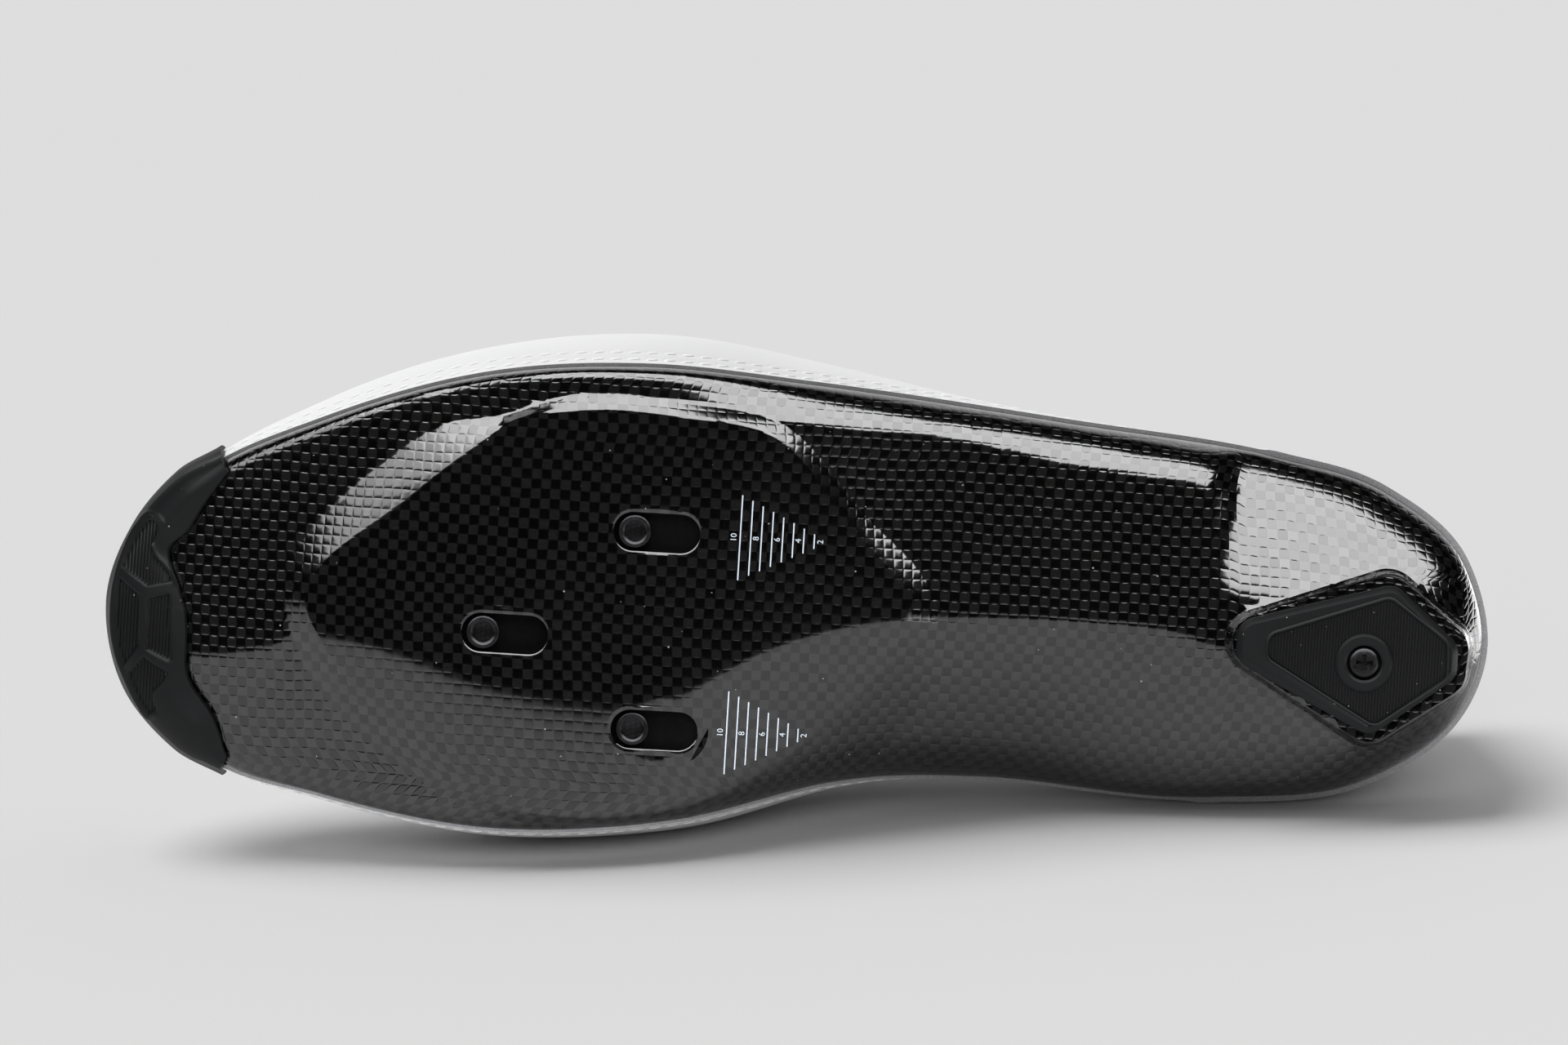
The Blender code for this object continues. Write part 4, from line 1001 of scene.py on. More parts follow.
# %% Coordinates of the weave, measured along the moulded surface
def surface_measure(plan):
    """Distances along the underside from its middle, in x and in y."""
    step = 1.5 * MM
    xs = np.arange(-2 * MM, LENGTH + 2 * MM, step)
    ys = np.arange(-0.060, 0.060, step)
    grid = np.stack(np.meshgrid(xs, ys, indexing="ij"), axis=-1)
    flat = grid.reshape(-1, 2)
    height = underside(flat).reshape(grid.shape[:2])
    depth, _ = rim_place(flat)
    on_sole = (inside(flat, SAMPLE_XY) | (depth < step)).reshape(grid.shape[:2])
    measured = []
    for axis, places in ((0, xs), (1, ys)):
        slope = np.gradient(height, step, axis=axis) * on_sole
        run = np.cumsum(np.sqrt(1 + np.clip(slope, -2.5, 2.5) ** 2) * step, axis=axis)
        middle = len(places) // 2
        run = run - np.take(run, [middle], axis=axis) + places[middle]
        measured.append(run)
    at = (plan - (xs[0], ys[0])) / step
    low = np.clip(np.floor(at).astype(int), 0, (len(xs) - 2, len(ys) - 2))
    share = at - low
    values = []
    for run in measured:
        x, y = low.T
        fx, fy = share.T
        values.append(
            run[x, y] * (1 - fx) * (1 - fy) + run[x + 1, y] * fx * (1 - fy)
            + run[x, y + 1] * (1 - fx) * fy + run[x + 1, y + 1] * fx * fy
        )
    return np.column_stack(values)


# %% Sole: joining the faces
sole_points = [below, floor]
sole_faces = [tuple(face) for face in below_faces]
floor_base = len(below)
sole_faces += [tuple(floor_base + i for i in face) for face in floor_faces]


def add_ring(ring):
    """Adds a ring of points to the sole and returns their indices."""
    first = sum(map(len, sole_points))
    sole_points.append(ring)
    return list(range(first, first + len(ring)))


def join_rings(chain):
    """Joins rings of indices one after another."""
    for first, second in zip(chain, chain[1:]):
        for i in range(len(first)):
            j = (i + 1) % len(first)
            sole_faces.append((first[i], first[j], second[j], second[i]))


s_outer = np.arange(SOLE_COLUMNS) / SOLE_COLUMNS
rim_top = rim_height(s_outer)
rim_way = rim_outward(s_outer)
RIM_ROUND = 0.5 * MM
ON_ARC = 0.3
join_rings([
    below_loops[0],
    add_ring(at_height(outer, rim_top - RIM_ROUND)),
    add_ring(at_height(outer - rim_way * RIM_ROUND * ON_ARC, rim_top - RIM_ROUND * ON_ARC)),
    add_ring(at_height(outer - rim_way * RIM_ROUND, rim_top)),
    add_ring(at_height(inner, rim_top)),
    [floor_base + i for i in floor_loops[0]],
])
seats = {}
for index, (name, centre) in enumerate(zip(SLOTS, slot_centres)):
    pocket = pockets[index]
    coarse = stadium(centre, POCKET_LENGTH, POCKET_WIDTH, 9)
    seats[name] = (shell(coarse) + SOLE_FLOOR).min() - POCKET_DEPTH
    mouth_height = below[below_loops[1 + index], 2]
    wall = stadium(centre, SLOT_LENGTH, SLOT_WIDTH, SLOT_POINTS)
    join_rings([
        below_loops[1 + index],
        add_ring(at_height(offset_loop(wall, SLOT_BREAK * ON_ARC), mouth_height + SLOT_BREAK * ON_ARC)),
        add_ring(at_height(wall, mouth_height + SLOT_BREAK)),
        add_ring(at_height(wall, seats[name])),
        add_ring(at_height(pocket, seats[name])),
        [floor_base + i for i in floor_loops[1 + index]],
    ])
join_rings([below_loops[-1], [floor_base + i for i in floor_loops[-1]]])
sole_points = np.concatenate(sole_points)
edge_gap, _, _ = closest(sole_points[:, :2], platform_top)
off_platform = np.where(inside(sole_points[:, :2], platform_top), 0.0, ease(edge_gap / EMBOSS_FADE))
embossed = PLATFORM_EMBOSS + (1 - PLATFORM_EMBOSS) * off_platform
mesh_piece(
    "carbon_sole", sole_points, sole_faces, [carbon], ("sole",), sharp=40,
    weave_at=np.column_stack([surface_measure(sole_points[:, :2]), embossed]),
)

# %% [markdown]
# ## The cleat nuts
#
# Each slot shows a threaded barrel on a plate that slides in the pocket. The barrel's
# mouth has a small chamfer, and the thread is a stack of rings that step in and out.

# %% Nuts with threads
THREAD_PITCH = 0.8 * MM
THREAD_DEPTH = 0.28 * MM
NUT_PLATE = (0.0210, 0.0130, 0.0013)
NUT_SIDES = 64
NUT_BEVEL = 0.35 * MM


def nut_rings(name, centre):
    """Rings from the plate up the barrel, over its face and down the thread."""
    axis = nut_axis(name)
    face = nut_face(name)
    plate_face = seats[name] + GAP
    back = plate_face + NUT_PLATE[2]
    start = -math.pi / 2 + math.pi / NUT_SIDES
    angles = start + np.arange(NUT_SIDES) / NUT_SIDES * math.tau

    def ring(radius, height):
        """A ring of the barrel."""
        return at_height(axis + radius * np.column_stack([np.cos(angles), np.sin(angles)]), height)

    plate = stadium(centre, NUT_PLATE[0], NUT_PLATE[1], NUT_SIDES // 2)
    bevel = NUT_BEVEL
    rings = [
        at_height(plate, back), at_height(plate, plate_face), ring(NUT_RADIUS, plate_face),
        ring(NUT_RADIUS, plate_face), ring(NUT_RADIUS, face + bevel),
        ring(NUT_RADIUS - bevel * 0.3, face + bevel * 0.3), ring(NUT_RADIUS - bevel, face),
        ring(NUT_BORE + 0.55 * MM, face), ring(NUT_BORE + 0.25 * MM, face + 0.15 * MM),
    ]
    height = face + 0.4 * MM
    while height + THREAD_PITCH < back:
        rings += [
            ring(NUT_BORE, height),
            ring(NUT_BORE, height + 0.1 * THREAD_PITCH),
            ring(NUT_BORE + THREAD_DEPTH, height + 0.5 * THREAD_PITCH),
        ]
        height += THREAD_PITCH
    return rings + [ring(NUT_BORE, height), ring(NUT_BORE, back)]


for name, centre in zip(SLOTS, slot_centres):
    # the plate under each barrel takes the near-black finish, which is painted shade
    rings_piece(
        name.replace("cleat_nut", "threaded_nut"), nut_rings(name, centre), [steel, nut_plate_shade],
        (name,), joined=True, first_rings=3,
    )

# %% [markdown]
# ## The heel pad
#
# The pad is a lozenge of rubber held by one countersunk screw. Its border stands a
# little higher than the tread inside, and the tread has fine ribs across the shoe.

# %% Pad body
SCREW_HEAD_RADIUS = 0.0032
BOSS_RADIUS = 0.0056
PAD_SKIRT = 0.0010
PAD_RECESS = 0.5 * MM
pad_base = ISLAND_LEVEL - GAP
web = pad_base - PAD_SKIRT
pad_angles = np.arctan2(*(TREAD_LOOP - SCREW_POINT).T[::-1])


def pad_circle(radius, height):
    """Ring about the screw with its points facing those of the pad's outline."""
    around_screw = np.column_stack([np.cos(pad_angles), np.sin(pad_angles)])
    return at_height(SCREW_POINT + radius * around_screw, height)


def pad_ring(inset, height, loop=PAD_LOOP):
    """Ring set in from the pad's outline, or from that of its tread."""
    return at_height(offset_loop(loop, -inset), height)


tread_floor = TREAD + PAD_RECESS + 0.25 * MM
SCREW_CLEAR = SCREW_HEAD_RADIUS + FIT
SHANK_CLEAR = SCREW_SHANK_RADIUS + FIT
rings_piece("heel_pad_rubber", [
    pad_ring(0.0, pad_base),
    pad_ring(0.0, TREAD + PAD_CHAMFER + 0.3 * MM),
    pad_ring(0.12 * MM, TREAD + PAD_CHAMFER),
    pad_ring(PAD_CHAMFER * 0.88, TREAD + 0.22 * MM),
    pad_ring(PAD_CHAMFER, TREAD + 0.08 * MM),
    pad_ring(PAD_CHAMFER + 0.2 * MM, TREAD + 0.05 * MM),
    pad_ring(-0.45 * MM, TREAD + 0.25 * MM, TREAD_LOOP),
    pad_ring(-0.25 * MM, TREAD + 0.05 * MM, TREAD_LOOP),
    pad_ring(-0.05 * MM, TREAD, TREAD_LOOP),
    pad_ring(0.15 * MM, TREAD + 0.10 * MM, TREAD_LOOP),
    pad_ring(0.45 * MM, tread_floor, TREAD_LOOP),
    pad_circle(BOSS_RADIUS + PAD_RECESS, tread_floor),
    pad_circle(BOSS_RADIUS, TREAD + 0.15 * MM),
    pad_circle(BOSS_RADIUS - 0.2 * MM, TREAD),
    pad_circle(SCREW_CLEAR + 0.5 * MM, TREAD),
    pad_circle(SCREW_CLEAR, TREAD + 0.4 * MM),
    pad_circle(SCREW_CLEAR, web),
    pad_circle(SHANK_CLEAR, web),
    pad_circle(SHANK_CLEAR, pad_base),
], [rubber], ("heel_pad",), joined=True)


# %% Ribs of the pad
def line_spans(x, loop, clear=None):
    """Stretches in y where the line at x lies in a loop, less a round gap."""
    a, b = loop, np.roll(loop, -1, axis=0)
    crossing = (a[:, 0] > x) != (b[:, 0] > x)
    a, b = a[crossing], b[crossing]
    places = np.sort(a[:, 1] + (x - a[:, 0]) / (b[:, 0] - a[:, 0]) * (b[:, 1] - a[:, 1]))
    spans = list(zip(places[::2], places[1::2]))
    if clear is not None:
        (cx, cy), radius = clear
        if abs(x - cx) < radius:
            half = math.sqrt(radius ** 2 - (x - cx) ** 2)
            spans = [
                piece for low, high in spans
                for piece in ((low, min(high, cy - half)), (max(low, cy + half), high))
            ]
    return [(low, high) for low, high in spans if high - low > 0.6 * MM]


RIB_ROOT = 0.15 * MM
RIB_TOP_SHARE = 0.30
RIB_HEIGHT = 0.28 * MM


def rib(path, width, height, down):
    """Points and faces of one ridge along a path, rising towards down."""
    across = np.array([1.0, 0.0, 0.0])
    rows = []
    for point in path:
        rows.append([
            point - across * width / 2 - down * RIB_ROOT,
            point - across * width * RIB_TOP_SHARE + down * height,
            point + across * width * RIB_TOP_SHARE + down * height,
            point + across * width / 2 - down * RIB_ROOT,
        ])
    points = np.concatenate(rows)
    faces = []
    for index in range(len(rows) - 1):
        faces += ring_strip(index * 4, index * 4 + 4, 4)
    end = len(points)
    return points, faces + [(0, 1, 2, 3), (end - 1, end - 2, end - 3, end - 4)]


def joined_parts(parts):
    """Several meshes as one."""
    points, faces, base = [], [], 0
    for more, shape in parts:
        points.append(more)
        faces += [tuple(base + i for i in face) for face in shape]
        base += len(more)
    return np.concatenate(points), faces


DOWN = np.array([0.0, 0.0, -1.0])
RIB_PITCH = 0.62 * MM
RIB_SHARE = 0.62
tread_loop = offset_loop(TREAD_LOOP, -0.5 * MM)
pad_ribs = []
for x in np.arange(tread_loop[:, 0].min(), tread_loop[:, 0].max(), RIB_PITCH):
    for low, high in line_spans(x, tread_loop, (SCREW_POINT, BOSS_RADIUS + PAD_RECESS)):
        ends = np.array([(x, low, tread_floor), (x, high, tread_floor)])
        pad_ribs.append(rib(ends, RIB_PITCH * RIB_SHARE, RIB_HEIGHT, DOWN))
points, faces = joined_parts(pad_ribs)
mesh_piece("heel_pad_ribs", points, faces, [rubber], sharp=30)

# %% Screw with a cross recess
head_seat = web - GAP
HEAD_HEIGHT = 1.3 * MM
head_face = head_seat - HEAD_HEIGHT
SHANK_LENGTH = 4.2 * MM
SCREW_SIDES = 48
screw_profile = (
    (SCREW_SHANK_RADIUS, head_seat + SHANK_LENGTH), (SCREW_SHANK_RADIUS, head_seat),
    (SCREW_HEAD_RADIUS, head_seat), (SCREW_HEAD_RADIUS, head_face + 0.55 * MM),
    (SCREW_HEAD_RADIUS * 0.93, head_face + 0.22 * MM),
    (SCREW_HEAD_RADIUS * 0.80, head_face + 0.06 * MM), (SCREW_HEAD_RADIUS * 0.62, head_face),
)
screw = rings_piece("pad_screw", [
    at_height(circle(SCREW_POINT, radius, SCREW_SIDES), height) for radius, height in screw_profile
], [steel], ("heel_pad_screw",))
arm, half = 1.9 * MM, 0.45 * MM
cross = SCREW_POINT + np.array([
    (arm, half), (half, half), (half, arm), (-half, arm), (-half, half), (-arm, half),
    (-arm, -half), (-half, -half), (-half, -arm), (half, -arm), (half, -half), (arm, -half),
])
recess_mesh = bpy.data.meshes.new("driver recess")
recess_rings = [
    at_height(cross, head_face - MM),
    at_height(SCREW_POINT + (cross - SCREW_POINT) * 0.8, head_face + 0.95 * MM),
]
recess_points = in_room(np.concatenate(recess_rings)).tolist()
recess_mesh.from_pydata(recess_points, [], tube_faces(2, len(cross), False))
recess = bpy.data.objects.new("driver recess", recess_mesh)
shape = bmesh.new()
shape.from_mesh(recess_mesh)
bmesh.ops.recalc_face_normals(shape, faces=shape.faces)
shape.to_mesh(recess_mesh)
shape.free()
bpy.context.scene.collection.objects.link(recess)
bpy.context.view_layer.update()
step = screw.modifiers.new("recess", "BOOLEAN")
step.object = recess
step.solver = "EXACT"
cut_mesh = bpy.data.meshes.new_from_object(screw.evaluated_get(bpy.context.evaluated_depsgraph_get()))
screw.modifiers.clear()
screw.data = cut_mesh
bpy.data.objects.remove(recess)
print("screw after the cut: %d faces" % len(cut_mesh.polygons))

# %% [markdown]
# ## The upper
#
# The upper is one wall over the last. The mesh is laid out by distance up each section
# and not by share, so that the rows near the sole's edge can be half a millimetre apart:
# that is where two rows of stitching press into it. Raised panels (the lace stay and
# the heel counter) are small steps in the same wall.

# %% Layout of the wall by distance
UPPER_COLUMNS = 520
EDGE_ROWS = np.arange(0, 9.0, 0.4) * MM
TOP_ROWS = np.arange(0, 17.0, 0.5)[::-1] * MM
MIDDLE_ROWS = 34
FINE = 160
column_s = np.arange(UPPER_COLUMNS) / UPPER_COLUMNS
reach = open_share(column_s)
fine_t = np.linspace(0, 1, FINE)[:, None] * reach
fine_points = np.stack([last(column_s, row) for row in fine_t])
fine_up = np.concatenate([
    np.zeros((1, UPPER_COLUMNS)),
    np.cumsum(np.linalg.norm(np.diff(fine_points, axis=0), axis=2), axis=0),
])
section_length = fine_up[-1]
between = np.linspace(0, 1, MIDDLE_ROWS + 2)[1:-1, None]
low_row, high_row = EDGE_ROWS[-1], section_length - TOP_ROWS[0]
row_up = np.concatenate([
    np.repeat(EDGE_ROWS[:, None], UPPER_COLUMNS, axis=1),
    low_row + (high_row - low_row) * between,
    section_length - TOP_ROWS[:, None],
])
row_t = np.stack([
    np.interp(row_up[:, i], fine_up[:, i], fine_t[:, i]) for i in range(UPPER_COLUMNS)
], axis=1)
shortest, longest = section_length.min() / MM, section_length.max() / MM
print("wall of %.0f to %.0f mm, %d rows" % (shortest, longest, len(row_t)))

# %% Relief of the wall
EYESTAY_WIDTH = 15 * MM
SEAMS = (2.7 * MM, 5.5 * MM)
SEAM_DENT = 0.14 * MM
SEAM_SPREAD = 0.60 * MM
CUT_EDGE = 0.75 * MM
CUT_EDGE_REACH = 2.2 * MM
STAY_STEP = 0.55 * MM
COUNTER_STEP = 0.45 * MM
PANEL_SLOPE = 0.8 * MM
folded = np.minimum(column_s, 1 - column_s)
throat = ease((folded - station[5] + 0.012) / 0.012)
counter_height = 30 * MM + 12 * MM * np.cos(np.clip(folded / station[3], 0, 1) * math.pi / 2)
counter = ease((station[3] * 1.08 - folded) / 0.006)
forefoot = ease((folded - station[3]) / 0.03)
down_from_top = section_length - row_up
relief = STAY_STEP * ease((EYESTAY_WIDTH - down_from_top) / PANEL_SLOPE) * throat
relief += COUNTER_STEP * ease((counter_height - row_up) / PANEL_SLOPE) * counter
for seam in SEAMS:
    relief -= SEAM_DENT * np.exp(-(((row_up - seam) / SEAM_SPREAD) ** 2)) * forefoot
relief += CUT_EDGE * ease(1 - row_up / CUT_EDGE_REACH)
SWELL_SEED, SWELL_ROWS, SWELL_COLUMNS = 7, 6, 8
SWELL_HEIGHT = 0.012 * MM
swell = np.random.default_rng(SWELL_SEED).normal(size=(SWELL_ROWS, SWELL_COLUMNS))
off_rim = ease(row_up / (12 * MM))
for row in range(SWELL_ROWS):
    for column in range(SWELL_COLUMNS):
        round_rim = np.cos(math.tau * (column + 1) * column_s * 2 + row)
        up_wall = np.cos(row_up / MM / (9 + 3 * row) + column)
        relief += swell[row, column] * SWELL_HEIGHT * round_rim * up_wall * off_rim

outer_rows = np.stack([
    last(column_s, t) + last_normal(column_s, t) * lift[:, None]
    for t, lift in zip(row_t, relief)
])
outer_normals = np.stack([last_normal(column_s, t) for t in row_t])
INNER_STEPS = np.linspace(1, 0, 26)
PADDING, PADDING_DOWN, PADDING_SPREAD = 1.6 * MM, 9 * MM, 7 * MM
collar_zone = 1 - ease((folded - station[4]) / 0.02)
lined_rows = []
for share in INNER_STEPS:
    t = reach * share
    off_middle = (section_length * (1 - share) - PADDING_DOWN) / PADDING_SPREAD
    padding = PADDING * collar_zone * np.exp(-(off_middle ** 2))
    lined_rows.append(last(column_s, t) - last_normal(column_s, t) * (UPPER_WALL + padding)[:, None])
lined_rows = np.stack(lined_rows)
lined_rows[-1] = last(column_s, 0 * reach) - at_height(rim_outward(column_s), 0.0) * UPPER_WALL
top_out, top_in = outer_rows[-1], lined_rows[0]
top_normal = outer_normals[-1]
rise = np.cross(top_out - np.roll(top_out, 1, axis=0), top_normal)
rise /= np.linalg.norm(rise, axis=1, keepdims=True)
rise *= np.sign((rise * (outer_rows[-1] - outer_rows[-4])).sum(1))[:, None]
edge_middle, edge_half = (top_out + top_in) / 2, (top_out - top_in) / 2
COLLAR_ROUND = 1.1 * MM
rounding = [
    edge_middle + edge_half * math.cos(angle) + rise * COLLAR_ROUND * math.sin(angle)
    for angle in np.linspace(0, math.pi, 8)[1:-1]
]
wall_points = np.concatenate([
    outer_rows.reshape(-1, 3), np.concatenate(rounding), lined_rows.reshape(-1, 3)
])
ring_total = len(outer_rows) + len(rounding) + len(lined_rows)
wall_faces = tube_faces(ring_total, UPPER_COLUMNS, True)
row_of_face = np.repeat(np.arange(ring_total), UPPER_COLUMNS)
wall_slots = np.where(row_of_face < len(outer_rows) + 3, 0, 2)
wall_slots = np.where(row_of_face == ring_total - 1, 1, wall_slots)
mesh_piece(
    "upper_wall", wall_points, wall_faces, [white, grey_edge, lining], ("upper",),
    slots=wall_slots, sharp=45,
)


# %% Stitches
def seam_line(up=None, down=None, first=0.0, final=1.0):
    """Points and normals of a line at a distance up from the rim or down from the top."""
    level = np.full(UPPER_COLUMNS, up) if up is not None else section_length - down
    points, normals = [], []
    for i in np.flatnonzero((column_s >= first) & (column_s <= final)):
        rows = row_up[:, i]
        points.append([np.interp(level[i], rows, outer_rows[:, i, axis]) for axis in range(3)])
        normals.append([np.interp(level[i], rows, outer_normals[:, i, axis]) for axis in range(3)])
    return np.array(points), np.array(normals)


THREAD_SIDES = 6
RAND_STITCH = {"pitch": 3.7 * MM, "length": 3.0 * MM, "radius": 0.24 * MM, "slant": 0.5 * MM}
PANEL_STITCH = {"pitch": 2.6 * MM, "length": 1.9 * MM, "radius": 0.20 * MM}
STAY_MARGIN = 1.8 * MM
COLLAR_MARGIN = 4.2 * MM


def stitches(line, pitch, length, radius, slant=0.0):
    """Small threads along a line, each dipping into the wall at its ends."""
    points, normals = line
    run = np.concatenate([[0.0], np.cumsum(np.linalg.norm(np.diff(points, axis=0), axis=1))])
    made = []
    shares = np.linspace(-0.5, 0.5, 7)
    for middle in np.arange(pitch / 2, run[-1] - pitch / 2, pitch):
        at = middle + shares * length
        path = np.column_stack([np.interp(at, run, points[:, axis]) for axis in range(3)])
        normal = np.column_stack([np.interp(at, run, normals[:, axis]) for axis in range(3)])
        normal /= np.linalg.norm(normal, axis=1, keepdims=True)
        forward = path[-1] - path[0]
        forward /= np.linalg.norm(forward)
        side = np.cross(normal, forward)
        path = path + side * (shares * slant)[:, None]
        path = path + normal * (radius * (0.45 - 24.0 * shares ** 4))[:, None]
        width = radius * np.sqrt(np.clip(1.06 - (2 * shares) ** 4, 0.05, 1))
        rings = []
        for angle in np.arange(THREAD_SIDES) / THREAD_SIDES * math.tau:
            round_thread = side * math.cos(angle) * 1.15 + normal * math.sin(angle) * 0.8
            rings.append(path + round_thread * width[:, None])
        rings = np.stack(rings, axis=1).reshape(-1, 3)
        made.append((rings, tube_faces(len(shares), THREAD_SIDES, False)))
    return made


rand_first = station[3] * 1.02
collar_end = station[4] * 1.05
rand_threads = []
for up in SEAMS:
    rand_threads += stitches(seam_line(up=up, first=rand_first, final=1 - rand_first), **RAND_STITCH)
points, faces = joined_parts(rand_threads)
mesh_piece("rand_stitching", points, faces, [thread], sharp=60)
panel_threads = []
for down, first, final in (
    (EYESTAY_WIDTH - STAY_MARGIN, station[5], 1 - station[5]),
    (COLLAR_MARGIN, 0.0, collar_end),
    (COLLAR_MARGIN, 1 - collar_end, 1.0),
):
    panel_threads += stitches(seam_line(down=down, first=first, final=final), **PANEL_STITCH)
points, faces = joined_parts(panel_threads)
mesh_piece("panel_stitching", points, faces, [thread], sharp=60)


# %% [markdown]
# ## Tongue and lace
#
# The photograph hides the closure, so a plain tongue and a plain lace stand in for it.
# The tongue lies under the edges of the throat and arches across. The lace shows as
# bars over it. Their ends go down through eyelets, and the runs between lie hidden.

# %% Tongue
TONGUE_THICKNESS = 0.0025
TONGUE_RISE = 0.010
TONGUE_LAP = 0.10
TONGUE_ROWS = 70
TONGUE_TOP = ((0.18, 0.97), (0.36, 0.90), (0.55, 0.80), (0.75, 0.70), (0.9, 0.62), (1.0, 0.52))


def unit(vectors):
    """Vectors of length 1."""
    return vectors / np.linalg.norm(vectors, axis=-1, keepdims=True)


def under(s, t, depth):
    """Points below the outer face of the upper."""
    s, t = np.broadcast_arrays(np.asarray(s, dtype=float), np.asarray(t, dtype=float))
    flat_s, flat_t = s.ravel(), t.ravel()
    return (last(flat_s, flat_t) - last_normal(flat_s, flat_t) * depth).reshape(*s.shape, 3)


def bridge(s, t, depth, count):
    """Arches over the throat from the lateral to the medial side of sections."""
    step = 0.02
    a, d = under(s, t, depth), under(1 - s, t, depth)
    third = np.linalg.norm(a - d, axis=-1, keepdims=True) / 3
    b = a + unit(a - under(s, t - step, depth)) * third
    c = d + unit(d - under(1 - s, t - step, depth)) * third
    corners = [np.repeat(point, count, axis=0) for point in (a, b, c, d)]
    return cubic(corners, np.tile(np.linspace(0, 1, count), len(a))).reshape(len(a), count, 3)


def tongue_sheet(depth):
    """One face of the tongue: sections from its rounded top to the throat's front."""
    s = np.linspace(station[5] * 0.985, 0.5, TONGUE_ROWS)
    t = open_share(s)
    laps = TONGUE_LAP * np.linspace(1, 0, 8)[:-1]
    left = under(s[:, None], t[:, None] - laps, depth)
    right = under(1 - s[:, None], t[:, None] - laps[::-1], depth)
    sections = list(np.concatenate([left, bridge(s, t, depth, 26), right], axis=1))
    top, second = sections[0], sections[4]
    climb = top.mean(0) - second.mean(0)
    climb /= np.linalg.norm(climb)
    middle = top.mean(0)
    for share, width in TONGUE_TOP:
        raised = middle + (top - middle) * (1.0, width, width)
        sections.insert(0, raised + climb * TONGUE_RISE * share)
    return np.array(sections)


tongue_outer = tongue_sheet(UPPER_WALL + FIT)
tongue_inner = tongue_sheet(UPPER_WALL + FIT + TONGUE_THICKNESS)
rows, width = tongue_outer.shape[:2]
points = np.concatenate([tongue_outer.reshape(-1, 3), tongue_inner.reshape(-1, 3)])
faces, slots = [], []
for base in (0, rows * width):
    for row in range(rows - 1):
        faces += ring_strip(base + row * width, base + (row + 1) * width, width, closed=False)
        slots += [0 if base == 0 else 1] * (width - 1)
border = list(range(width)) + [row * width + width - 1 for row in range(1, rows)]
border += [row * width for row in range(rows - 1, 0, -1)]
shell_size = rows * width
faces += [(a, b, b + shell_size, a + shell_size) for a, b in zip(border, border[1:] + border[:1])]
slots += [0] * len(border)
mesh_piece(
    "padded_tongue", points, faces, [tongue_cloth, lining], ("tongue",),
    slots=slots, weld=0.00001,
)

# %% Eyelets and lace bars
LACE_RADIUS = 0.0015
LACE_BARS = 5
EYELET_BACK = 0.052
EYELET_RADIUS = 2.3 * MM
bars = []
eyelets = []
for index, s in enumerate(np.linspace(station[5] * 1.03, station[7] * 1.03, LACE_BARS)):
    t = float(open_share(np.array([s]))[0])
    for side in (s, 1 - s):
        middle = under(side, t - EYELET_BACK, -0.55 * MM)
        normal = last_normal(np.full(1, side), np.full(1, t - EYELET_BACK))[0]
        along = under(side, t - EYELET_BACK + 0.01, -0.55 * MM) - middle
        along -= normal * (along @ normal)
        along /= np.linalg.norm(along)
        across = np.cross(normal, along)
        rings = []
        for radius, lift in ((1.0, -0.5), (1.25, 0.1), (1.15, 0.45), (0.9, 0.5), (0.72, 0.2), (0.70, -0.9)):
            angles = np.arange(28) / 28 * math.tau
            plane = np.outer(np.cos(angles), along) + np.outer(np.sin(angles), across)
            rings.append(middle + plane * EYELET_RADIUS * radius + normal * lift * MM)
        eyelets.append((np.concatenate(rings), tube_faces(len(rings), 28, True)))
    lift = LACE_RADIUS + 0.9 * MM
    arch = bridge(np.array([s]), np.array([t - 0.012]), -lift, 15)[0]
    ends = []
    for side in (s, 1 - s):
        ends.append([
            under(side, t - EYELET_BACK - 0.004, 1.6 * MM),
            under(side, t - EYELET_BACK + 0.002, -0.4 * MM),
            under(side, t - EYELET_BACK + 0.014, -lift * 0.95),
        ])
    bars.append(np.array(ends[0] + list(arch) + ends[1][::-1]))
points, faces = joined_parts(eyelets)
mesh_piece("eyelets", points, faces, [steel], sharp=50)


def cord_rings(path, radius, sides, count):
    """A round cord through a few points, smoothed."""
    steps = np.concatenate([[0.0], np.cumsum(np.linalg.norm(np.diff(path, axis=0), axis=1))])
    path = through(steps, path, np.linspace(0, steps[-1], count))
    along = np.gradient(path, axis=0)
    along /= np.linalg.norm(along, axis=1, keepdims=True)
    side = np.cross(along[0], (0.0, 0.0, 1.0))
    rings = []
    for point, forward in zip(path, along):
        side = side - forward * (side @ forward)
        side /= np.linalg.norm(side)
        third = np.cross(forward, side)
        angles = np.arange(sides) / sides * math.tau
        rings.append(point + radius * (np.outer(np.cos(angles), side) + np.outer(np.sin(angles), third)))
    return np.concatenate(rings), tube_faces(count, sides, False)


points, faces = joined_parts([cord_rings(path, LACE_RADIUS, 16, 80) for path in bars])
mesh_piece("lace_bars", points, faces, [lace_cloth], ("lace",), sharp=50)

# %% [markdown]
# ## The toe bumper
#
# The bumper wraps the toe from under the sole, over the rim and a little up the wall.
# Its underside has four ribbed fields between three-armed bars, and a raised lip that
# curls round them. The base shape is the solid's own, on a grid fine enough to press
# the fields in, and the ribs are thin ridges laid on it.

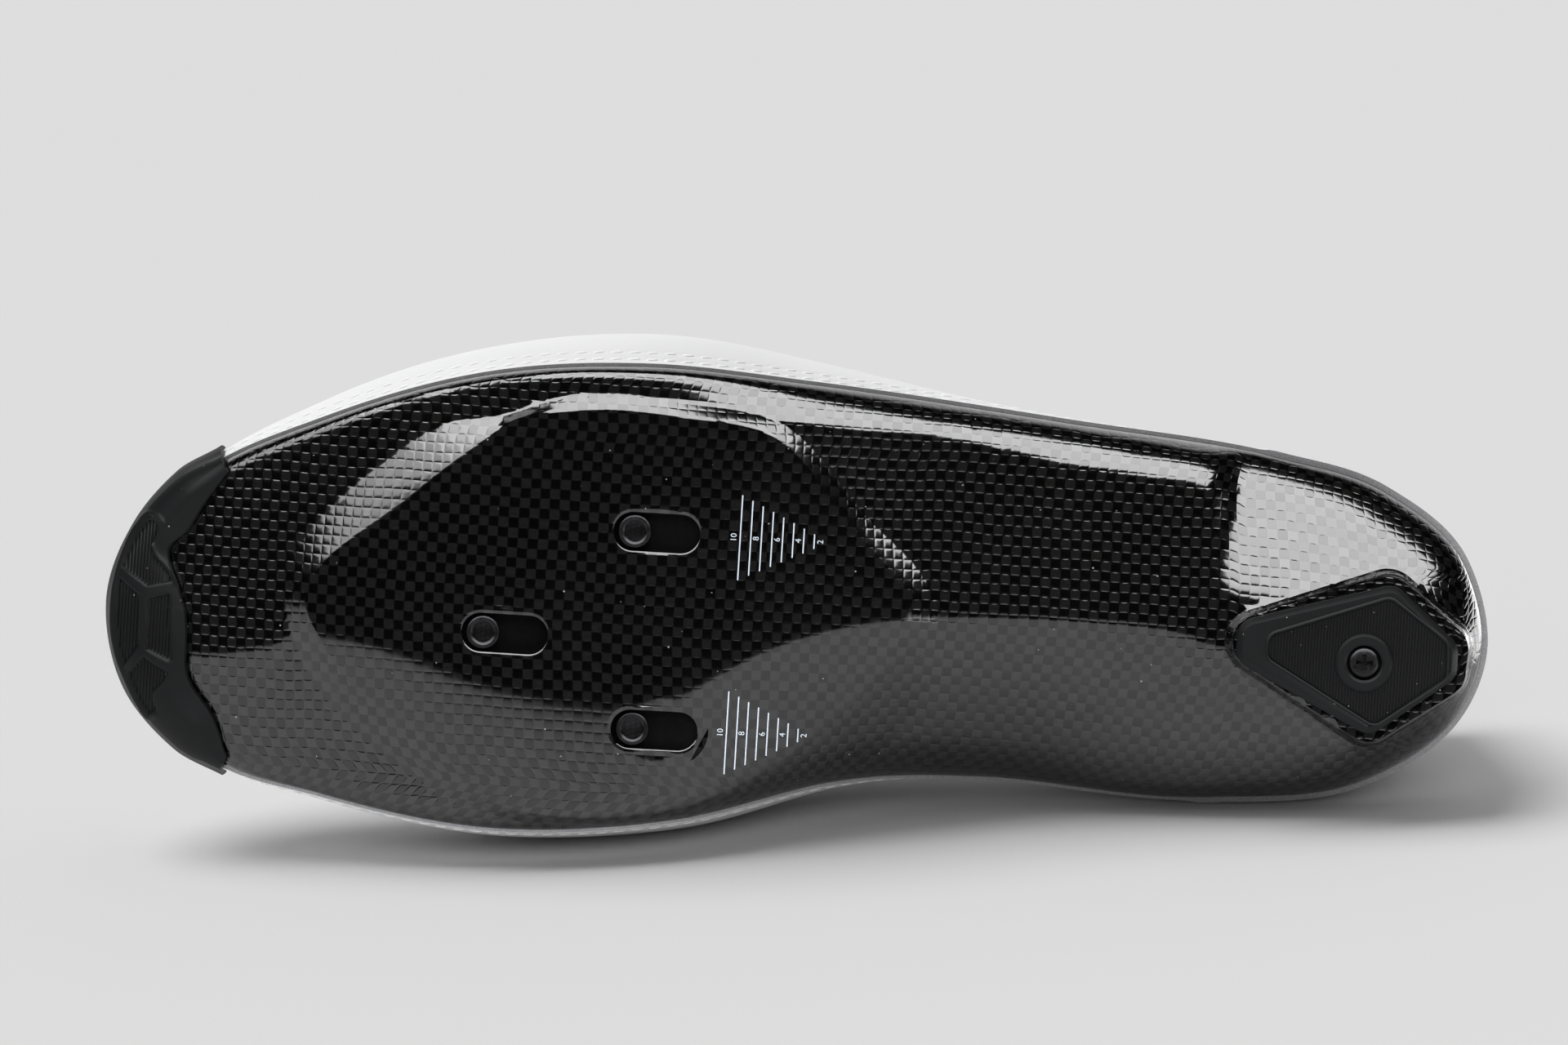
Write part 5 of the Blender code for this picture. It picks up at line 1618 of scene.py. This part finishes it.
# %% Base surface of the bumper
BUMPER_ENDS = ((0.914, 0.225), (0.906, -0.435))
BUMPER_TUCK = (0.0025, 0.0050, 0.0070, 0.0065, 0.0120, 0.0142, 0.0142, 0.0125, 0.0100, 0.0080, 0.0025)
BUMPER_CLIMB = 0.100
BUMPER_THICKNESS = 0.0027
BUMPER_END_SHARE = 0.45
BUMPER_COLUMNS = 260
ends_s = rim_place(np.array([(x * LENGTH, y * BALL_WIDTH) for x, y in BUMPER_ENDS]))[1]
bumper_s = np.linspace(round(ends_s[0] * 176) / 176, round(ends_s[1] * 176) / 176, BUMPER_COLUMNS)
along = np.linspace(0, 1, BUMPER_COLUMNS)
tuck = through(np.linspace(0, 1, len(BUMPER_TUCK)), np.array(BUMPER_TUCK), along)
out = at_height(rim_outward(bumper_s), 0.0)


def sole_skin(inset):
    """Points on the underside set in from the rim, and the way out of the sole there."""
    step = 0.4 * MM
    plan = around("rim", bumper_s) - out[:, :2] * np.reshape(inset, (-1, 1))
    slope_x = (underside(plan + (step, 0)) - underside(plan - (step, 0))) / (2 * step)
    slope_y = (underside(plan + (0, step)) - underside(plan - (0, step))) / (2 * step)
    normal = np.column_stack([slope_x, slope_y, -np.ones(len(plan))])
    return at_height(plan, underside(plan)), normal / np.linalg.norm(normal, axis=1, keepdims=True)


PROFILE_KNOTS = (1.00, 0.96, 0.90, 0.80, 0.70, 0.60, 0.50, 0.40, 0.32, 0.25, 0.19, 0.14, 0.09, 0.05)
corner = (out + DOWN) / math.sqrt(2)
edge_point = at_height(around("rim", bumper_s), rim_height(bumper_s) - RIM_LIP)
rim_point = at_height(around("rim", bumper_s), rim_height(bumper_s))
profile = [sole_skin(tuck * share) for share in PROFILE_KNOTS]
thick = [min(1.0, 0.35 + 1.4 * (1 - share)) for share in PROFILE_KNOTS]
profile += [(edge_point, corner), (rim_point, out)]
thick += [1.0, 1.0]
for share, amount in ((0.25, 1.0), (0.5, 0.97), (0.75, 0.88), (0.9, 0.65), (1.0, 0.30)):
    climb = np.full(BUMPER_COLUMNS, BUMPER_CLIMB * share)
    profile.append((last(bumper_s, climb), last_normal(bumper_s, climb)))
    thick.append(amount)
from_end = ease(np.minimum(along, 1 - along) * 8)
end_taper = (BUMPER_END_SHARE + (1 - BUMPER_END_SHARE) * from_end)[:, None]
skin = np.stack([point + normal * FIT for point, normal in profile])
face_out = np.stack([
    point + normal * (FIT + BUMPER_THICKNESS * amount * end_taper)
    for (point, normal), amount in zip(profile, thick)
])
knots = np.concatenate([[0.0], np.cumsum(np.linalg.norm(np.diff(face_out.mean(1), axis=0), axis=1))])
BUMPER_ROWS = 76
face_out = through(knots, face_out, np.linspace(0, knots[-1], BUMPER_ROWS))
print("bumper outer face %.0f mm round" % (knots[-1] / MM))

# %% Fields, bars and lips of the bumper
# Corners of the four ribbed fields, in millimetres of the shoe's plan
FIELDS = (
    ((277.1, 8.0), (275.6, 8.0), (274.8, 6.9), (275.0, 5.3), (275.9, 2.9), (275.0, 0.8),
     (272.4, -2.0), (271.2, -4.2), (276.3, -5.6), (281.8, -2.2), (281.4, -0.2), (279.7, 4.0)),
    ((282.4, -4.5), (278.1, -7.4), (277.4, -17.8), (280.4, -22.4), (281.6, -19.1), (282.5, -13.6),
     (282.8, -8.5)),
    ((275.9, -8.1), (271.5, -6.8), (270.4, -20.8), (275.5, -18.7)),
    ((276.3, -20.3), (270.9, -23.1), (271.8, -25.2), (274.0, -27.2), (273.9, -29.4),
     (272.9, -31.1), (274.7, -32.2), (276.8, -29.6), (279.0, -25.2), (279.1, -23.9)),
)
# Raised lips, as lines in the same plan
LIPS = (
    ((273.4, 6.0), (273.7, 7.6), (275.1, 9.0), (276.8, 9.4), (279.2, 6.8), (281.9, 0.6), (283.2, -5.0),
     (283.6, -11.1), (283.4, -14.9), (282.1, -20.4), (279.8, -25.4), (276.9, -30.4), (274.8, -33.0),
     (273.0, -32.2)),
    ((275.8, 2.9), (274.9, 1.0), (272.7, -1.0), (271.1, -2.8), (270.3, -4.6)),
)
FIELD_DEPTH = 0.55 * MM
LIP_RISE = 0.35 * MM
flat_rows = face_out.reshape(-1, 3)
plan_of_rows = flat_rows[:, :2]
row_normal = np.cross(np.gradient(face_out, axis=1), np.gradient(face_out, axis=0))
row_normal /= np.linalg.norm(row_normal, axis=2, keepdims=True)
centre_line = np.array([0.255, -0.010, 0.018])
outward = np.sign(((face_out - centre_line) * row_normal).sum(2))
row_normal *= outward[..., None]
below_rim = (row_normal[..., 2] < -0.12).reshape(-1)
raised = np.zeros(len(flat_rows))
for corners in FIELDS:
    loop = np.array(corners) * MM
    gap, _, _ = closest(plan_of_rows, loop)
    signed = np.where(inside(plan_of_rows, loop), gap, -gap)
    raised -= FIELD_DEPTH * ease(signed / (0.35 * MM) + 0.5) * below_rim
for line in LIPS:
    path = np.array(line) * MM
    steps = np.concatenate([[0.0], np.cumsum(np.linalg.norm(np.diff(path, axis=0), axis=1))])
    path = through(steps, path, np.linspace(0, steps[-1], 120))
    gap, _, _ = closest(plan_of_rows, path, closed=False)
    raised += LIP_RISE * np.exp(-((gap / (0.42 * MM)) ** 2)) * below_rim
pressed = face_out + row_normal * raised.reshape(BUMPER_ROWS, BUMPER_COLUMNS, 1)
skin_rows = through(knots, skin, np.linspace(0, knots[-1], 20))
section = BUMPER_ROWS + len(skin_rows)
stack = np.concatenate([pressed, skin_rows[::-1]])
points = np.swapaxes(stack, 0, 1).reshape(-1, 3)
faces = []
for index in range(BUMPER_COLUMNS - 1):
    faces += ring_strip(index * section, (index + 1) * section, section)
faces.append(tuple(range(section)))
last_section = (BUMPER_COLUMNS - 1) * section
faces.append(tuple(range(last_section + section - 1, last_section - 1, -1)))
mesh_piece("toe_bumper_rubber", points, faces, [rubber], ("toe_bumper",), sharp=50)

# %% Ribs of the bumper
tree = BVHTree.FromPolygons([tuple(point) for point in points], faces)
TOE_RIB_PITCH = 0.69 * MM
TOE_RIB_STEP = 0.8 * MM
TOE_RIB_HEIGHT = 0.26 * MM
RIB_INSET = 0.25 * MM
toe_ribs = []
for corners in FIELDS:
    loop = np.array(corners) * MM
    for x in np.arange(0.2685, 0.2850, TOE_RIB_PITCH):
        for low, high in line_spans(x, loop):
            path = []
            steps = max(2, int((high - low) / TOE_RIB_STEP) + 1)
            for y in np.linspace(low + RIB_INSET, high - RIB_INSET, steps):
                hit = tree.ray_cast(Vector((x, y, -0.03)), Vector((0, 0, 1)), 0.08)
                if hit[0] is not None:
                    path.append(tuple(hit[0]))
            if len(path) > 1:
                toe_ribs.append(rib(np.array(path), TOE_RIB_PITCH * 0.6, TOE_RIB_HEIGHT, DOWN))
points, faces = joined_parts(toe_ribs)
mesh_piece("bumper_ribs", points, faces, [rubber], sharp=30)

# %% [markdown]
# ## Printed cleat scales
#
# Eight thin lines grow shorter behind each rear slot, with small numbers beside them,
# for setting both cleat bolts alike. On the real sole they are printed. Here they are
# ribbons that follow the sole a few hundredths of a millimetre off it, and the numbers
# are text shapes turned to meshes and laid on the same surface.

# %% Scale lines
INK_LIFT = 0.05 * MM
INK_WIDTH = 0.26 * MM
# First and last line of each scale: x, low y, high y, in millimetres
SCALES = (
    ((154.8, 3.8, 21.2), (139.65, 11.0, 14.0)),
    ((155.2, -36.3, -19.1), (140.6, -29.1, -26.3)),
)
ink = []
for first, final in SCALES:
    for share in np.linspace(0, 1, 8):
        x, low, high = (np.array(first) + (np.array(final) - np.array(first)) * share) * MM
        ys = np.linspace(low, high, max(3, int((high - low) / (0.7 * MM))))
        plan = np.concatenate([
            np.column_stack([np.full(len(ys), x - INK_WIDTH / 2), ys]),
            np.column_stack([np.full(len(ys), x + INK_WIDTH / 2), ys]),
        ])
        ribbon = at_height(plan, underside(plan) - INK_LIFT)
        ink.append((ribbon, ring_strip(0, len(ys), len(ys), closed=False)))
points, faces = joined_parts(ink)
mesh_piece("scale_lines", points, faces, [print_ink])

# %% Scale numbers
NUMBER_SIZE = 1.75 * MM


def letters_of(word):
    """Flat points and faces of a short word, its middle at the origin."""
    curve = bpy.data.curves.new("number", "FONT")
    curve.body = word
    curve.size = NUMBER_SIZE
    curve.align_x = "CENTER"
    curve.align_y = "CENTER"
    curve.resolution_u = 3
    holder = bpy.data.objects.new("number", curve)
    bpy.context.scene.collection.objects.link(holder)
    bpy.context.view_layer.update()
    flat = bpy.data.meshes.new_from_object(holder.evaluated_get(bpy.context.evaluated_depsgraph_get()))
    points = np.array([tuple(vertex.co) for vertex in flat.vertices])
    shapes = [tuple(face.vertices) for face in flat.polygons]
    bpy.data.objects.remove(holder)
    return points, shapes


# Place of each number, in lines from the toe's end of the scale
NUMBERS = {"10": -0.6, "8": 1.5, "6": 3.5, "4": 5.5, "2": 7.6}
digits = []
for first, final in SCALES:
    for word, line in NUMBERS.items():
        letters, shapes = letters_of(word)
        x = (first[0] + (final[0] - first[0]) * line / 7) * MM
        y = (first[1] + first[2]) / 2 * MM
        plan = np.column_stack([x + letters[:, 1], y + letters[:, 0]])
        digits.append((at_height(plan, underside(plan) - INK_LIFT), shapes))
points, faces = joined_parts(digits)
mesh_piece("scale_numbers", points, faces, [print_ink])

# %% [markdown]
# ## The insole
#
# The insole shows through the collar. Its solid already has the right shape, so it
# keeps it and only gets a knitted cover.

# %% Insole cover
insole = frame["nodes"]["insole"]
for material_slot in insole.material_slots:
    material_slot.material = insole_cloth.material
print("insole covered:", len(insole.material_slots), "finish")

# %% [markdown]
# ## Floor, light and camera
#
# A pale sweep fills the picture. The sole is nearly black and glossy, so what it shows
# is mostly what it reflects: a dark room in front, a wide panel overhead for the bright
# bands, and the pale floor for the grey parts that face down. Two panels overhead and a
# card by the heel only show in reflections. A card in front only lights, for the white
# edge that faces the floor. A soft key from the upper left and a dim room light the matt
# parts, so that the floor is even and the shadow stays close to the shoe.

# %% Floor
floor_finish = Finish("pale floor", (0.66, 0.66, 0.66), 0.9, Specular_IOR_Level=0.0)
mottle = floor_finish.noise(floor_finish.place(), 3.0)
floor_finish.feed(**{
    "Base Color": floor_finish.blend(mottle, (0.655, 0.655, 0.655), (0.665, 0.665, 0.665)),
})
floor_mesh = bpy.data.meshes.new("floor")
FLOOR_REACH = 12.0
floor_mesh.from_pydata(
    [(-FLOOR_REACH, -FLOOR_REACH, 0), (FLOOR_REACH, -FLOOR_REACH, 0),
     (FLOOR_REACH, FLOOR_REACH, 0), (-FLOOR_REACH, FLOOR_REACH, 0)], [], [(0, 1, 2, 3)])
floor_mesh.materials.append(floor_finish.material)
floor_sheet = bpy.data.objects.new("floor", floor_mesh)
bpy.context.scene.collection.objects.link(floor_sheet)


# %% Lights
def panel(name, x_range, y_range, height, brightness, facing_up=False, mirrored=True):
    """A level panel that only shows in reflections, or only lights; brightness is radiance."""
    lamp = bpy.data.lights.new(name, "AREA")
    lamp.shape = "RECTANGLE"
    lamp.size = x_range[1] - x_range[0]
    lamp.size_y = y_range[1] - y_range[0]
    lamp.energy = brightness * math.pi * lamp.size * lamp.size_y
    box = bpy.data.objects.new(name, lamp)
    box.location = (sum(x_range) / 2, sum(y_range) / 2, height)
    box.rotation_euler = (math.pi if facing_up else 0, 0, 0)
    box.visible_camera = False
    box.visible_diffuse = not mirrored
    box.visible_glossy = mirrored
    bpy.context.scene.collection.objects.link(box)


PANEL_HEIGHT = 1.65
panel("overhead panel", (-1.2, 2.2), (-2.5, 0.1), PANEL_HEIGHT, 5.8)
panel("left panel", (-2.7, -1.2), (-2.4, 0.1), PANEL_HEIGHT, 3.2)
panel("right card", (0.2, 1.4), (-0.3, 1.2), 0.002, 2.6, facing_up=True)
panel("bounce card", (-0.30, 0.30), (-0.45, -0.05), 0.001, 2.4, facing_up=True, mirrored=False)
sun_lamp = bpy.data.lights.new("soft key", "SUN")
sun_lamp.energy = 2.25
sun_lamp.angle = math.radians(40)
sun = bpy.data.objects.new("soft key", sun_lamp)
sun.rotation_euler = (math.radians(-7), math.radians(-24), 0)
sun.visible_glossy = False
bpy.context.scene.collection.objects.link(sun)
print("lights:", ", ".join(item.name for item in bpy.context.scene.objects if item.type == "LIGHT"))

# %% Room light, seen by matt surfaces more than by gloss
world = bpy.data.worlds.new("studio")
world.use_nodes = True
bpy.context.scene.world = world
room = Nodes(world.node_tree)
to_camera = room.node("ShaderNodeLightPath", output="Is Camera Ray")
to_matt = room.node("ShaderNodeLightPath", output="Is Diffuse Ray")
to_gloss = room.node("ShaderNodeLightPath", output="Is Glossy Ray")
direction = room.node("ShaderNodeTexCoord", output="Generated")
backwards = room.node("ShaderNodeSeparateXYZ", {}, {0: direction}, 1)
BACKDROP_FROM, BACKDROP_BLEND, BACKDROP_LIGHT = 0.72, 0.15, 0.90
SEEN_LIGHT, MATT_LIGHT, GLOSS_LIGHT = 0.70, 0.45, 0.004
backdrop = ((backwards - BACKDROP_FROM) / BACKDROP_BLEND).limited() * BACKDROP_LIGHT
background = world.node_tree.nodes["Background"]
strength = to_camera * SEEN_LIGHT + to_matt * MATT_LIGHT + to_gloss * backdrop + GLOSS_LIGHT
room.join(background.inputs["Strength"], strength)
background.inputs["Color"].default_value = (1.0, 1.0, 1.0, 1.0)
print("room light %.2f as seen and %.2f on matt surfaces" % (SEEN_LIGHT, MATT_LIGHT))

# %% Camera
AZIMUTH, ELEVATION, ROLL = math.radians(1.96), math.radians(14.0), math.radians(-3.151)
DISTANCE = 2.667
camera_data = bpy.data.cameras.new("camera")
camera_data.lens = 300
camera_data.sensor_width = 36
camera_data.clip_end = 100
camera = bpy.data.objects.new("camera", camera_data)
bpy.context.scene.collection.objects.link(camera)
target = Vector((0.0002, -0.04, 0.0693))
forward = Vector((
    -math.sin(AZIMUTH) * math.cos(ELEVATION), math.cos(AZIMUTH) * math.cos(ELEVATION), -math.sin(ELEVATION)
))
level = forward.to_track_quat("-Z", "Y")
camera.matrix_world = (
    Matrix.Translation(target - forward * DISTANCE)
    @ level.to_matrix().to_4x4() @ Matrix.Rotation(ROLL, 4, "Z")
)
bpy.context.scene.camera = camera
bpy.context.scene.view_settings.view_transform = "Standard"
print("camera at", tuple(round(value, 3) for value in camera.matrix_world.translation))
